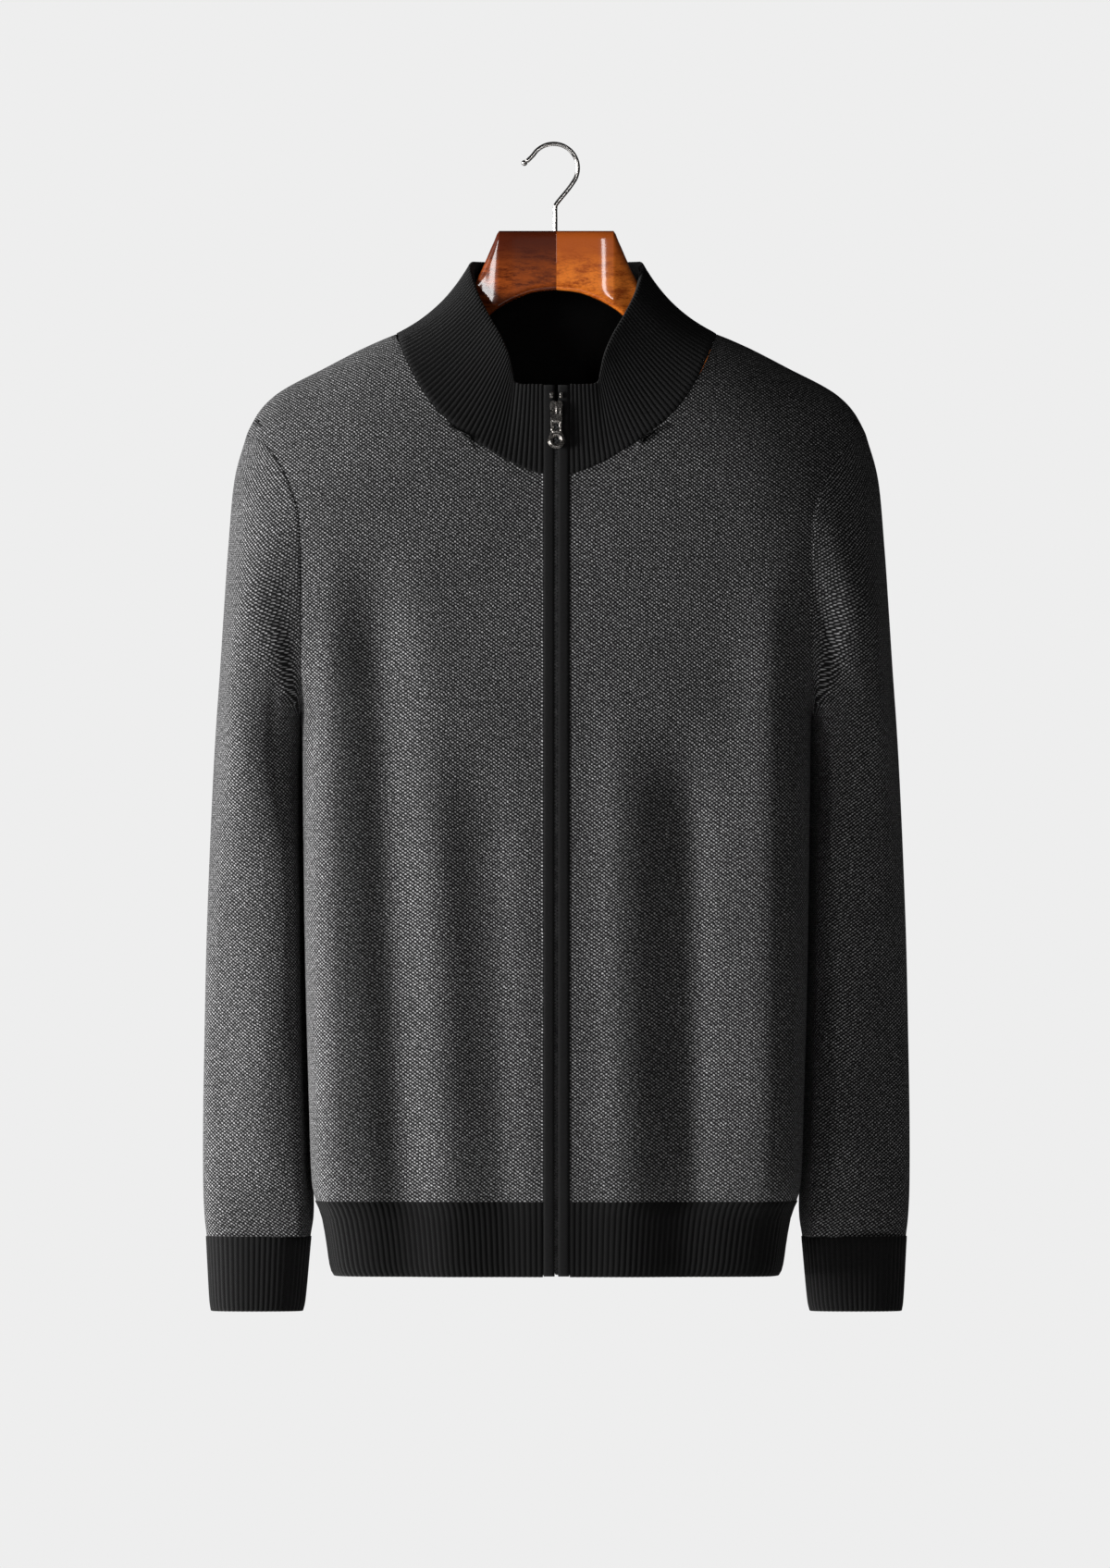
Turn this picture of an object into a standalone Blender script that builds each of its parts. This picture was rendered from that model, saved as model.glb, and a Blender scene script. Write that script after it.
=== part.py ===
"""Zip-up cardigan of two-tone knit, hanging on a wooden hanger from the hanger's hook.

Metres, +Z up. The origin is the inside of the hook's top, where it hangs on a rail.
The front faces -Y, and left and right are those of someone who looks at the front.
Every cloth piece is a wall: a sheet of outer points and the same sheet moved inwards.
"""

import math

import bmesh
import bpy
import numpy as np
from mathutils import Matrix, Vector


def table(names, *rows):
    """Named columns, with a row for each section."""
    return dict(zip(names.split(), np.array(rows, float).T))


# Cloth
WALL = 0.0022
COLLAR_WALL = 0.0040
RIB_WALL = 0.0024
SEAM_GAP = 0.0003
RIB_RISE = 0.0007
HEM_RIB = 0.0043
CUFF_RIB = 0.0037
COLLAR_RIB = 0.0042
COLLAR_GAP = 0.0010
RIB_STEP = 4

# Heights of the cut's landmarks
HEM_Z = -0.8296
HEM_SEAM_Z = -0.7750
UNDERARM_Z = -0.4200
NECK_X = 0.1180
NECK_Z = -0.1385
BACK_NECK_Z = -0.1560
PANEL_EDGE_X = 0.0098

# The body's horizontal section at each height: a rounded box, fuller in front
TORSO = table(
    "z half_width front back front_corner back_corner",
    (-0.8296, 0.1630, 0.0665, 0.0585, 3.6, 2.4),
    (-0.8245, 0.1655, 0.0680, 0.0600, 3.6, 2.4),
    (-0.8017, 0.1690, 0.0700, 0.0620, 3.7, 2.4),
    (-0.7840, 0.1725, 0.0715, 0.0640, 3.9, 2.4),
    (-0.7750, 0.1765, 0.0740, 0.0665, 4.0, 2.4),
    (-0.7650, 0.1793, 0.0790, 0.0705, 4.2, 2.4),
    (-0.7450, 0.1806, 0.0830, 0.0730, 4.4, 2.4),
    (-0.7090, 0.1816, 0.0845, 0.0740, 4.6, 2.4),
    (-0.6410, 0.1836, 0.0855, 0.0745, 4.6, 2.4),
    (-0.5730, 0.1850, 0.0865, 0.0750, 4.6, 2.4),
    (-0.5050, 0.1860, 0.0875, 0.0755, 4.5, 2.4),
    (-0.4200, 0.1873, 0.0880, 0.0765, 4.2, 2.4),
    (-0.3800, 0.1980, 0.0875, 0.0775, 4.1, 2.5),
    (-0.3300, 0.2150, 0.0865, 0.0785, 3.8, 2.6),
    (-0.2740, 0.2300, 0.0840, 0.0790, 3.6, 2.7),
    (-0.2420, 0.2340, 0.0805, 0.0785, 3.4, 2.7),
    (-0.2000, 0.2370, 0.0770, 0.0770, 3.1, 2.7),
    (-0.1100, 0.2380, 0.0740, 0.0740, 2.8, 2.7),
)

# Outlines seen from the front
SHOULDER = table(
    "x z",
    (0.0000, -0.1120),
    (0.0600, -0.1190),
    (0.1180, -0.1385),
    (0.1395, -0.1476),
    (0.1714, -0.1639),
    (0.2023, -0.1802),
    (0.2125, -0.1884),
    (0.2193, -0.1965),
    (0.2240, -0.2047),
    (0.2278, -0.2128),
    (0.2302, -0.2210),
    (0.2400, -0.2700),
)
NECKLINE = table(
    "x z",
    (0.0000, -0.2440),
    (0.0122, -0.2420),
    (0.0340, -0.2335),
    (0.0555, -0.2207),
    (0.0765, -0.2060),
    (0.0940, -0.1870),
    (0.1080, -0.1630),
    (0.1180, -0.1385),
)
ARMHOLE = table(
    "z x",
    (-0.4200, 0.1873),
    (-0.3900, 0.1870),
    (-0.3600, 0.1868),
    (-0.3100, 0.1872),
    (-0.2740, 0.1890),
    (-0.2465, 0.1972),
    (-0.2340, 0.2035),
    (-0.2175, 0.2165),
    (-0.2128, 0.2278),
    (-0.2080, 0.2345),
    (-0.2040, 0.2370),
    (-0.1100, 0.2380),
)
SHOULDER_FALL = 0.16
SHOULDER_POWER = 2.2

# Folds of the hanging cloth: soft troughs (rise below 0) and ridges, from a top to a low end
FRONT_FOLDS = table(
    "top_x top_z low_x low_z width rise",
    (-0.168, -0.300, -0.163, -0.800, 0.013, 0.0040),
    (-0.134, -0.290, -0.112, -0.800, 0.022, -0.0140),
    (-0.091, -0.420, -0.080, -0.800, 0.018, 0.0030),
    (-0.058, -0.440, -0.032, -0.800, 0.024, -0.0055),
    (0.045, -0.400, 0.050, -0.800, 0.022, 0.0050),
    (0.095, -0.420, 0.096, -0.800, 0.022, -0.0110),
    (0.158, -0.310, 0.155, -0.800, 0.020, 0.0085),
)
BACK_FOLDS = table(
    "top_x top_z low_x low_z width rise",
    (-0.120, -0.400, -0.112, -0.800, 0.020, -0.0080),
    (-0.070, -0.330, -0.076, -0.800, 0.022, 0.0050),
    (-0.030, -0.480, -0.018, -0.800, 0.018, -0.0060),
    (0.022, -0.360, 0.034, -0.800, 0.020, 0.0050),
    (0.080, -0.440, 0.071, -0.800, 0.020, -0.0090),
    (0.125, -0.340, 0.120, -0.800, 0.018, 0.0050),
)
FOLD_FADE = 0.10
FOLD_START = 0.02
FOLD_CLEAR_X = (0.010, 0.045)
FOLD_SIDE = (0.930, 0.995)
RIB_HOLD = 0.45
RIB_HOLD_DROP = (0.765, 0.790)

# The sleeve's rings, each between a point at the body and one on the outer outline
SLEEVE = table(
    "inner_x inner_z outer_x outer_z half_depth centre_y own_shape",
    (0.1882, -0.4215, 0.2366, -0.2455, 0.069, 0.000, 0.25),
    (0.1882, -0.4240, 0.2412, -0.2944, 0.072, 0.003, 0.60),
    (0.1881, -0.4280, 0.2444, -0.3400, 0.073, 0.008, 0.90),
    (0.1875, -0.4350, 0.2474, -0.3850, 0.072, 0.014, 1.00),
    (0.1865, -0.4480, 0.2503, -0.4250, 0.069, 0.020, 1.00),
    (0.1860, -0.4750, 0.2524, -0.4600, 0.066, 0.023, 1.00),
    (0.1851, -0.5250, 0.2550, -0.5150, 0.062, 0.025, 1.00),
    (0.1839, -0.5900, 0.2576, -0.5850, 0.057, 0.025, 1.00),
    (0.1826, -0.6500, 0.2590, -0.6500, 0.052, 0.024, 1.00),
    (0.1808, -0.7100, 0.2600, -0.7100, 0.047, 0.022, 1.00),
    (0.1788, -0.7600, 0.2600, -0.7600, 0.042, 0.019, 1.00),
    (0.1785, -0.7850, 0.2590, -0.7850, 0.036, 0.015, 1.00),
    (0.1808, -0.8014, 0.2572, -0.8014, 0.029, 0.012, 1.00),
)
SLEEVE_POWER = 2.3
SLEEVE_LEAN = -0.50
SLEEVE_LEAN_DROP = (0.43, 0.54)
SLEEVE_FADE = 0.06
SLEEVE_FOLDS = table(
    "turn top_z low_z width rise",
    (0.16, -0.300, -0.560, 0.055, 0.0030),
    (0.30, -0.360, -0.700, 0.050, -0.0040),
    (0.12, -0.560, -0.780, 0.050, -0.0030),
    (0.22, -0.600, -0.790, 0.050, 0.0030),
    (0.70, -0.400, -0.720, 0.060, -0.0050),
    (0.84, -0.360, -0.760, 0.060, 0.0040),
)
CUFF = table(
    "z inner_x outer_x half_depth centre_y",
    (-0.8017, 0.1808, 0.2572, 0.029, 0.012),
    (-0.8452, 0.1848, 0.2549, 0.027, 0.012),
    (-0.8560, 0.1868, 0.2536, 0.026, 0.012),
)
CUFF_REACH = (0.036, 0.027)

# The collar's top edge, from the zip round to the middle of the back
COLLAR_TOP = table(
    "x y z",
    (0.0098, -0.0600, -0.1768),
    (0.0230, -0.0595, -0.1768),
    (0.0305, -0.0575, -0.1750),
    (0.0320, -0.0555, -0.1690),
    (0.0350, -0.0505, -0.1560),
    (0.0415, -0.0410, -0.1400),
    (0.0500, -0.0300, -0.1250),
    (0.0605, -0.0140, -0.1030),
    (0.0640, 0.0040, -0.0890),
    (0.0610, 0.0240, -0.0850),
    (0.0460, 0.0440, -0.0850),
    (0.0240, 0.0560, -0.0855),
    (0.0000, 0.0600, -0.0860),
)
COLLAR_SAG = 0.0035
COLLAR_BOW = (0.29, 0.10, 0.25)

# Zip
BAND_INNER_X = 0.0013
BAND_OUTER_X = 0.0094
BAND_PROUD = 0.0010
BAND_BACK = 0.0024
BAND_EDGE = 0.0012
BAND_EDGE_DROP = 0.0006
CHAIN_HALF_WIDTH = 0.0022
CHAIN_DEPTH = 0.0016
CHAIN_END = 0.004
TAPE_INNER_X = 0.0012
TAPE_OUTER_X = 0.0145
TAPE_DEPTH = 0.0008
TAPE_INSET = 0.002
LINE_STEP = 0.001
SLIDER_TOP_Z = -0.1882
SLIDER_LENGTH = 0.0148
SLIDER_WIDTH = 0.0094
SLIDER_TAPER = 0.78
SLIDER_PLATE = 0.0014
SLIDER_BACK_SIZE = (0.0080, 0.0010, 0.0127)
SLIDER_POST_SIZE = (0.0016, 0.0045)
SLIDER_POST_RISE = 0.0033
STOP_Z = -0.1842
STOP_SIZE = (0.0022, 0.0014, 0.0044)
STOP_X = 0.0035
BAIL_WIRE = 0.0005
BAIL_TOP_Z = -0.1903
BAIL_LOW_Z = -0.1992
BAIL_RISE = 0.0018

# The pull, measured down from its bar, which turns under the bail
PULL_Z = -0.1945
PULL_THICKNESS = 0.0014
PULL_HALF_WIDTH = 0.0042
PULL_BAR = 0.0006
PULL_WINDOW_HALF_WIDTH = 0.0027
PULL_WINDOW_DROP = 0.0085
PULL_WAIST_HALF_WIDTH = 0.0036
PULL_SLOT = (0.0019, 0.0115, 0.0170)
PULL_RING_DROP = 0.0249
PULL_RING_RADIUS = 0.0062
PULL_HOLE = (0.00265, 0.0031)

# Hanger, from its middle out along one arm
HANGER = table(
    "x top bottom half_thickness corner",
    (0.0003, -0.0626, -0.1062, 0.0135, 9.0),
    (0.0150, -0.0626, -0.1078, 0.0135, 9.0),
    (0.0300, -0.0626, -0.1130, 0.0135, 9.0),
    (0.0420, -0.0626, -0.1195, 0.0128, 9.0),
    (0.0456, -0.0700, -0.1220, 0.0119, 8.0),
    (0.0585, -0.0980, -0.1340, 0.0085, 5.0),
    (0.0700, -0.1135, -0.1430, 0.0078, 3.0),
    (0.0836, -0.1262, -0.1530, 0.0075, 2.4),
    (0.1000, -0.1385, -0.1640, 0.0078, 2.3),
    (0.1180, -0.1495, -0.1740, 0.0095, 2.3),
    (0.1500, -0.1625, -0.1900, 0.0150, 2.4),
    (0.1850, -0.1800, -0.2060, 0.0165, 2.3),
    (0.2080, -0.1965, -0.2150, 0.0140, 2.2),
    (0.2150, -0.2060, -0.2145, 0.0080, 2.0),
)
HOOK_WIRE = 0.0016
HOOK_RADIUS = 0.0178
HOOK_X = -0.0020
HOOK_TIP_RADIUS = 0.0022
HOOK_BEND = ((-0.0008, -0.0450), (0.0002, -0.0424), (0.0040, -0.0376), (0.0088, -0.0318))
HOOK_END = ((-0.0203, -0.0100), (-0.0218, -0.0112))

# How finely each piece is divided
LOW_ROWS = 9
HIGH_ROWS = 10
ROW_EASE = 1.8
NECK_COLUMNS = 7
SHOULDER_COLUMNS = 7
FINE_COLUMNS = 240
HEM_ROWS = np.array([HEM_SEAM_Z - SEAM_GAP, -0.8240, HEM_Z])
COLLAR_ROWS = (0.0, 0.3, 0.65, 1.0)


def smooth(keys, values):
    """A smooth curve through a table's rows that never overshoots them."""
    steps = np.diff(keys)
    slopes = np.diff(values) / steps
    lean = np.concatenate([slopes[:1], np.zeros(len(slopes) - 1), slopes[-1:]])
    same_way = slopes[:-1] * slopes[1:] > 0
    mean = 2 * slopes[:-1] * slopes[1:] / np.where(same_way, slopes[:-1] + slopes[1:], 1)
    lean[1:-1] = np.where(same_way, mean, 0)

    def at(key):
        key = np.clip(key, keys[0], keys[-1])
        row = np.clip(np.searchsorted(keys, key, side="right") - 1, 0, len(steps) - 1)
        t = (key - keys[row]) / steps[row]
        ends = values[row] * (1 + 2 * t) * (1 - t) ** 2 + values[row + 1] * t * t * (3 - 2 * t)
        bends = lean[row] * t * (1 - t) ** 2 - lean[row + 1] * t * t * (1 - t)
        return ends + steps[row] * bends

    return at


def smoothstep(value, low, high):
    t = np.clip((value - low) / (high - low), 0, 1)
    return t * t * (3 - 2 * t)


half_width_at = smooth(TORSO["z"], TORSO["half_width"])
depth_at = {
    "front": smooth(TORSO["z"], TORSO["front"]),
    "back": smooth(TORSO["z"], TORSO["back"]),
}
corner_at = {
    "front": smooth(TORSO["z"], TORSO["front_corner"]),
    "back": smooth(TORSO["z"], TORSO["back_corner"]),
}
shoulder_at = smooth(SHOULDER["x"], SHOULDER["z"])
front_neck_at = smooth(NECKLINE["x"], NECKLINE["z"])
armhole_at = smooth(ARMHOLE["z"], ARMHOLE["x"])


def panel_top(x, face):
    """The height where the panel ends: its neckline, then its shoulder seam."""
    back_neck = BACK_NECK_Z + (NECK_Z - BACK_NECK_Z) * (x / NECK_X) ** 2
    neck = front_neck_at(x) if face == "front" else back_neck
    return np.where(x < NECK_X, neck, shoulder_at(x))


def across(z, u, start_x):
    """The distance from the middle, u from 0 at start_x to 1 at the side seam or armhole."""
    width = half_width_at(z)
    first = np.arcsin(start_x / width)
    last = np.arcsin(np.clip(armhole_at(z) / width, 0, 1))
    last = np.where(z <= UNDERARM_Z, math.pi / 2, last)
    return width * np.sin(first + (last - first) * u)


def fold_rise(x, z, folds):
    """How far the cloth stands out at a point, added up over the folds near it."""
    rise = np.zeros_like(x)
    for top_x, top_z, low_x, low_z, width, height in zip(*folds.values()):
        along = (z - top_z) / (low_z - top_z)
        centre = top_x + (low_x - top_x) * along
        shape = np.exp(-(((x - centre) / width) ** 2))
        rise += height * shape * smoothstep(-z, -top_z - FOLD_START, -top_z + FOLD_FADE)
    middle = smoothstep(np.abs(x), *FOLD_CLEAR_X)
    side = 1 - smoothstep(np.abs(x) / half_width_at(z), *FOLD_SIDE)
    held = 1 - (1 - RIB_HOLD) * smoothstep(-z, *RIB_HOLD_DROP)
    return rise * middle * side * held


def normals_of(points):
    """Unit normals of a sheet of points, from the run of its rows and columns."""
    along_rows = np.gradient(points, axis=1)
    along_columns = np.gradient(points, axis=0)
    normals = np.cross(along_rows, along_columns)
    return normals / np.linalg.norm(normals, axis=2, keepdims=True)


def flatten(normals, axis):
    """The normals turned square to an axis, so that the wall ends in a plane."""
    normals[..., axis] = 0
    normals /= np.linalg.norm(normals, axis=-1, keepdims=True)


def torso_sheet(face, side, columns, z):
    """Points and outward normals of the body's cloth. z has a row for each level."""
    start_x = PANEL_EDGE_X if face == "front" else 0.0
    x = across(z, columns[None, :], start_x)
    fill = (1 - np.clip(x / half_width_at(z), 0, 1) ** corner_at[face](z)) ** (1 / corner_at[face](z))
    fall = np.clip((shoulder_at(x) - z) / SHOULDER_FALL, 0, 1)
    fall = (1 - (1 - fall) ** SHOULDER_POWER) ** (1 / SHOULDER_POWER)
    facing = -1 if face == "front" else 1
    y = facing * depth_at[face](z) * fill * fall
    points = np.stack([side * x, y, z], axis=2)
    outward = -side * facing * np.sign(z[-1, 0] - z[0, 0])
    folds = FRONT_FOLDS if face == "front" else BACK_FOLDS
    level_normals = normals_of(points) * outward
    flatten(level_normals, 2)
    points = points + level_normals * fold_rise(points[..., 0], z, folds)[..., None]
    return points, normals_of(points) * outward


def column_tops(face, columns):
    """The height where each column of a panel meets its neckline or shoulder, by halving."""
    start_x = PANEL_EDGE_X if face == "front" else 0.0
    low = np.full(len(columns), UNDERARM_Z)
    high = np.full(len(columns), shoulder_at(0.0))
    for _ in range(40):
        middle = (low + high) / 2
        inside = middle < panel_top(across(middle, columns, start_x), face)
        low = np.where(inside, middle, low)
        high = np.where(inside, high, middle)
    return low


def panel_columns(face, count_neck, count_shoulder):
    """Columns with one at the neck point, closer together towards the side."""
    start_x = PANEL_EDGE_X if face == "front" else 0.0
    width = half_width_at(NECK_Z)
    first = math.asin(start_x / width)
    last = math.asin(min(1.0, float(armhole_at(NECK_Z) / width)))
    neck = (math.asin(NECK_X / width) - first) / (last - first)
    return np.concatenate(
        [np.linspace(0, neck, count_neck + 1), np.linspace(neck, 1, count_shoulder + 1)[1:]]
    )


def panel_levels(face, columns):
    """A height for each row and column, with a row level with the underarm."""
    tops = column_tops(face, columns)
    low = np.linspace(HEM_SEAM_Z, UNDERARM_Z, LOW_ROWS + 1)
    low = np.repeat(low[:, None], len(columns), axis=1)
    share = 1 - (1 - np.arange(1, HIGH_ROWS + 1) / HIGH_ROWS) ** ROW_EASE
    high = UNDERARM_Z + (tops - UNDERARM_Z)[None, :] * share[:, None]
    return np.concatenate([low, high])


def panel_sheet(face, side):
    """One half of the front or back, with its edges square to their seams."""
    columns = panel_columns(face, NECK_COLUMNS, SHOULDER_COLUMNS)
    points, normals = torso_sheet(face, side, columns, panel_levels(face, columns))
    facing = -1 if face == "front" else 1
    flatten(normals[0], 2)
    flatten(normals[: LOW_ROWS + 1, -1], 1)
    flatten(normals[-1, NECK_COLUMNS:], 1)
    flatten(normals[:, 0], 0)
    points[: LOW_ROWS + 1, -1, 1] = facing * SEAM_GAP / 2
    points[-1, NECK_COLUMNS:, 1] = facing * SEAM_GAP / 2
    return points, normals


def mesh_object(name, vertices, faces, collection):
    mesh = bpy.data.meshes.new(name)
    mesh.from_pydata([tuple(vertex) for vertex in vertices], [], faces)
    mesh.validate()
    bm = bmesh.new()
    bm.from_mesh(mesh)
    bmesh.ops.remove_doubles(bm, verts=bm.verts, dist=1e-7)
    bmesh.ops.recalc_face_normals(bm, faces=bm.faces)
    bm.to_mesh(mesh)
    bm.free()
    obj = bpy.data.objects.new(name, mesh)
    collection.objects.link(obj)
    return obj


def edge_strip(fine, coarse, step):
    """Triangles between a fine row of points and a coarse one, step fine spans to each coarse one."""
    faces = []
    for cell in range(len(coarse) - 1):
        start = cell * step
        span = min(step, len(fine) - 1 - start)
        middle = span // 2
        for k in range(span):
            near = coarse[cell] if k < middle else coarse[cell + 1]
            faces.append((fine[start + k], fine[start + k + 1], near))
        faces.append((fine[start + middle], coarse[cell + 1], coarse[cell]))
    return faces


def halved(a, b, c, d, vertices):
    """A cell of four corners as two triangles, split along its shorter diagonal."""
    across_ac = np.linalg.norm(vertices[a] - vertices[c])
    across_bd = np.linalg.norm(vertices[b] - vertices[d])
    return [(a, b, c), (a, c, d)] if across_ac <= across_bd else [(a, b, d), (b, c, d)]


def wall_object(name, outer, inner, collection, step=1, closed=False):
    """A wall between two sheets of points. The inner has every step-th column of the outer.

    A closed wall is a tube, whose first and last columns are the same.
    """
    rows, fine = outer.shape[:2]
    coarse = inner.shape[1]
    out = [[r * fine + c for c in range(fine)] for r in range(rows)]
    base = rows * fine
    back = [[base + r * coarse + c for c in range(coarse)] for r in range(rows)]
    vertices = np.concatenate([outer.reshape(-1, 3), inner.reshape(-1, 3)])
    faces = []
    for r in range(rows - 1):
        for c in range(fine - 1):
            corners = (out[r][c], out[r][c + 1], out[r + 1][c + 1], out[r + 1][c])
            faces += halved(*corners, vertices)
        for c in range(coarse - 1):
            corners = (back[r][c + 1], back[r][c], back[r + 1][c], back[r + 1][c + 1])
            faces += halved(*corners, vertices)
        if not closed:
            faces.append((out[r][0], out[r + 1][0], back[r + 1][0], back[r][0]))
            faces.append((out[r][-1], back[r][-1], back[r + 1][-1], out[r + 1][-1]))
    for r in (0, rows - 1):
        faces += edge_strip(out[r], back[r], step)
    return mesh_object(name, vertices, faces, collection)


def ribbed_wall(name, points, normals, wall, collection, closed=False):
    """A wall whose odd columns stand out as ribs, over a plain inside."""
    outer = points.copy()
    outer[:, 1::2] += normals[:, 1::2] * RIB_RISE
    inner = (points - normals * wall)[:, ::RIB_STEP]
    return wall_object(name, outer, inner, collection, RIB_STEP, closed)


def even_columns(length, pitch):
    """Two columns a rib along an edge, a whole number of inner spans."""
    return RIB_STEP * round(2 * length / pitch / RIB_STEP)


def respaced(row, count):
    """Points spread evenly along a line of points, with the share of the line each is at."""
    lengths = np.linalg.norm(np.diff(row, axis=0), axis=1)
    run = np.concatenate([[0], np.cumsum(lengths)])
    share = np.linspace(0, run[-1], count + 1)
    return np.stack([np.interp(share, run, row[:, k]) for k in range(3)], axis=1), share, run


def build_panels(collection):
    """The two fronts and the back. Returns their sheets for what is sewn to them."""
    sheets = {}
    for side, place in ((-1, "left"), (1, "right")):
        points, normals = panel_sheet("front", side)
        sheets["front", side] = points, normals
        wall_object(f"front_{place}", points, points - normals * WALL, collection)
        sheets["back", side] = panel_sheet("back", side)
    left, right = sheets["back", -1], sheets["back", 1]
    points, normals = (
        np.concatenate([a[:, :0:-1], b], axis=1) for a, b in zip(left, right)
    )
    wall_object("back", points, points - normals * WALL, collection)
    return sheets


def hem_sheet(sheets, face, side):
    """The ribbed hem under one half of a panel, its top edge on the panel's own."""
    columns = np.linspace(0, 1, FINE_COLUMNS + 1)
    z = np.repeat(HEM_ROWS[:, None], len(columns), axis=1)
    points, normals = torso_sheet(face, side, columns, z)
    count = even_columns(np.linalg.norm(np.diff(points[1], axis=0), axis=1).sum(), HEM_RIB)
    _, share, run = respaced(points[1], count)
    even = np.interp(share, run, columns)
    z = np.repeat(HEM_ROWS[:, None], len(even), axis=1)
    points, normals = torso_sheet(face, side, even, z)
    seam, seam_normals = (sheet[0] for sheet in sheets[face, side])
    top, share, run = respaced(seam, count)
    points[0, :, :2] = top[:, :2]
    normals[0] = np.stack([np.interp(share, run, seam_normals[:, k]) for k in range(3)], axis=1)
    facing = -1 if face == "front" else 1
    flatten(normals[0], 2)
    flatten(normals[-1], 2)
    flatten(normals[:, -1], 1)
    flatten(normals[:, 0], 0)
    points[:, -1, 1] = facing * SEAM_GAP / 2
    return points, normals


def build_hem(sheets, collection):
    for side, place in ((-1, "left"), (1, "right")):
        ribbed_wall(f"hem_front_{place}", *hem_sheet(sheets, "front", side), RIB_WALL, collection)
    left, right = hem_sheet(sheets, "back", -1), hem_sheet(sheets, "back", 1)
    points, normals = (
        np.concatenate([a[:, :0:-1], b], axis=1) for a, b in zip(left, right)
    )
    ribbed_wall("hem_back", points, normals, RIB_WALL, collection)


def armhole_loop(sheets, side):
    """The seam round the armhole, from the shoulder down the front and up the back."""
    front = sheets["front", side][0][LOW_ROWS:, -1]
    back = sheets["back", side][0][LOW_ROWS:, -1]
    loop = np.concatenate([front[::-1], back[1:]])
    loop[[0, -1], 1] = 0
    return loop


def power_wave(value, power):
    return np.sign(value) * np.abs(value) ** (2 / power)


def sleeve_sheet(sheets, side):
    """Rings from the armhole to the cuff, each leaning less on the armhole's shape."""
    loop = armhole_loop(sheets, side)
    half = len(loop) // 2
    share = np.concatenate(
        [respaced(part, 1)[2] / respaced(part, 1)[2][-1] for part in (loop[: half + 1], loop[half:])]
    )
    turn = np.concatenate([share[: half + 1], 1 + share[half + 2 :]]) * math.pi
    top, under = loop[0], loop[half]
    seam_axis = top - under
    seam_axis[1] = 0
    seam_length = np.linalg.norm(seam_axis)
    seam_axis = seam_axis / seam_length
    seam_across = np.array([seam_axis[2], 0, -seam_axis[0]])
    local = loop - (top + under) / 2
    along, sideways, deep = local @ seam_axis, local @ seam_across, loop[:, 1]
    rings = [loop]
    for inner_x, inner_z, outer_x, outer_z, half_depth, centre_y, own in zip(*SLEEVE.values()):
        inner = np.array([side * inner_x, 0, inner_z])
        outer = np.array([side * outer_x, 0, outer_z])
        axis = outer - inner
        length = np.linalg.norm(axis)
        axis = axis / length
        sideways_axis = np.array([axis[2], 0, -axis[0]])
        middle = (inner + outer) / 2
        lean = SLEEVE_LEAN * np.sin(turn) ** 4 * smoothstep(-inner_z, *SLEEVE_LEAN_DROP)
        reach = power_wave(np.cos(turn), SLEEVE_POWER) + lean
        own_ring = middle + (length / 2) * reach[:, None] * axis
        own_ring[:, 1] = centre_y - half_depth * power_wave(np.sin(turn), SLEEVE_POWER)
        like_seam = middle + (along * length / seam_length)[:, None] * axis
        like_seam += (sideways * (1 - own))[:, None] * sideways_axis
        like_seam[:, 1] = centre_y + deep * half_depth / np.abs(deep).max()
        rings.append(like_seam * (1 - own) + own_ring * own)
    rings = np.array(rings)
    first_step = rings[1] - rings[0]
    rings[0] += first_step / np.linalg.norm(first_step, axis=1, keepdims=True) * SEAM_GAP * 1.5
    rings[-1, :, 2] = SLEEVE["outer_z"][-1]
    normals = ring_normals(rings, side)
    share_turn = turn / (2 * math.pi)
    rings += normals * sleeve_rise(share_turn, rings[..., 2])[..., None]
    return rings, ring_normals(rings, side)


def sleeve_rise(turn, z):
    rise = np.zeros_like(z)
    for place, top_z, low_z, width, height in zip(*SLEEVE_FOLDS.values()):
        away = np.abs((turn - place + 0.5) % 1 - 0.5)
        window = smoothstep(-z, -top_z, -top_z + SLEEVE_FADE) * (
            1 - smoothstep(-z, -low_z - SLEEVE_FADE, -low_z)
        )
        rise += height * np.exp(-((away / width) ** 2))[None, :] * window
    return rise


def ring_normals(rings, side):
    """Outward normals of a tube whose first and last columns are the same."""
    wrapped = np.concatenate([rings[:, -2:-1], rings, rings[:, 1:2]], axis=1)
    return normals_of(wrapped)[:, 1:-1] * side


def build_sleeves(sheets, collection):
    for side, place in ((-1, "left"), (1, "right")):
        rings, normals = sleeve_sheet(sheets, side)
        flatten(normals[-1], 2)
        wall_object(
            f"sleeve_{place}", rings, rings - normals * WALL, collection, closed=True
        )


def cuff_sheet(side):
    """The cuff's rings, with two columns to a rib."""
    girth = 2 * math.pi * math.sqrt((CUFF_REACH[0] ** 2 + CUFF_REACH[1] ** 2) / 2)
    count = even_columns(girth, CUFF_RIB)
    turn = np.linspace(0, 2 * math.pi, FINE_COLUMNS + 1)
    for _ in range(2):
        rings = []
        for z, inner_x, outer_x, half_depth, centre_y in zip(*CUFF.values()):
            middle, reach = (inner_x + outer_x) / 2, (outer_x - inner_x) / 2
            x = side * (middle + reach * power_wave(np.cos(turn), SLEEVE_POWER))
            y = centre_y - half_depth * power_wave(np.sin(turn), SLEEVE_POWER)
            rings.append(np.stack([x, y, np.full_like(x, z)], axis=1))
        _, even, run = respaced(rings[1], count)
        turn = np.interp(even, run, turn) if len(turn) > count + 1 else turn
    rings = np.array(rings)
    normals = ring_normals(rings, side)
    flatten(normals[0], 2)
    flatten(normals[-1], 2)
    return rings, normals


def build_cuffs(collection):
    for side, place in ((-1, "left"), (1, "right")):
        rings, normals = cuff_sheet(side)
        ribbed_wall(f"cuff_{place}", rings, normals, RIB_WALL, collection, closed=True)


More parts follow.
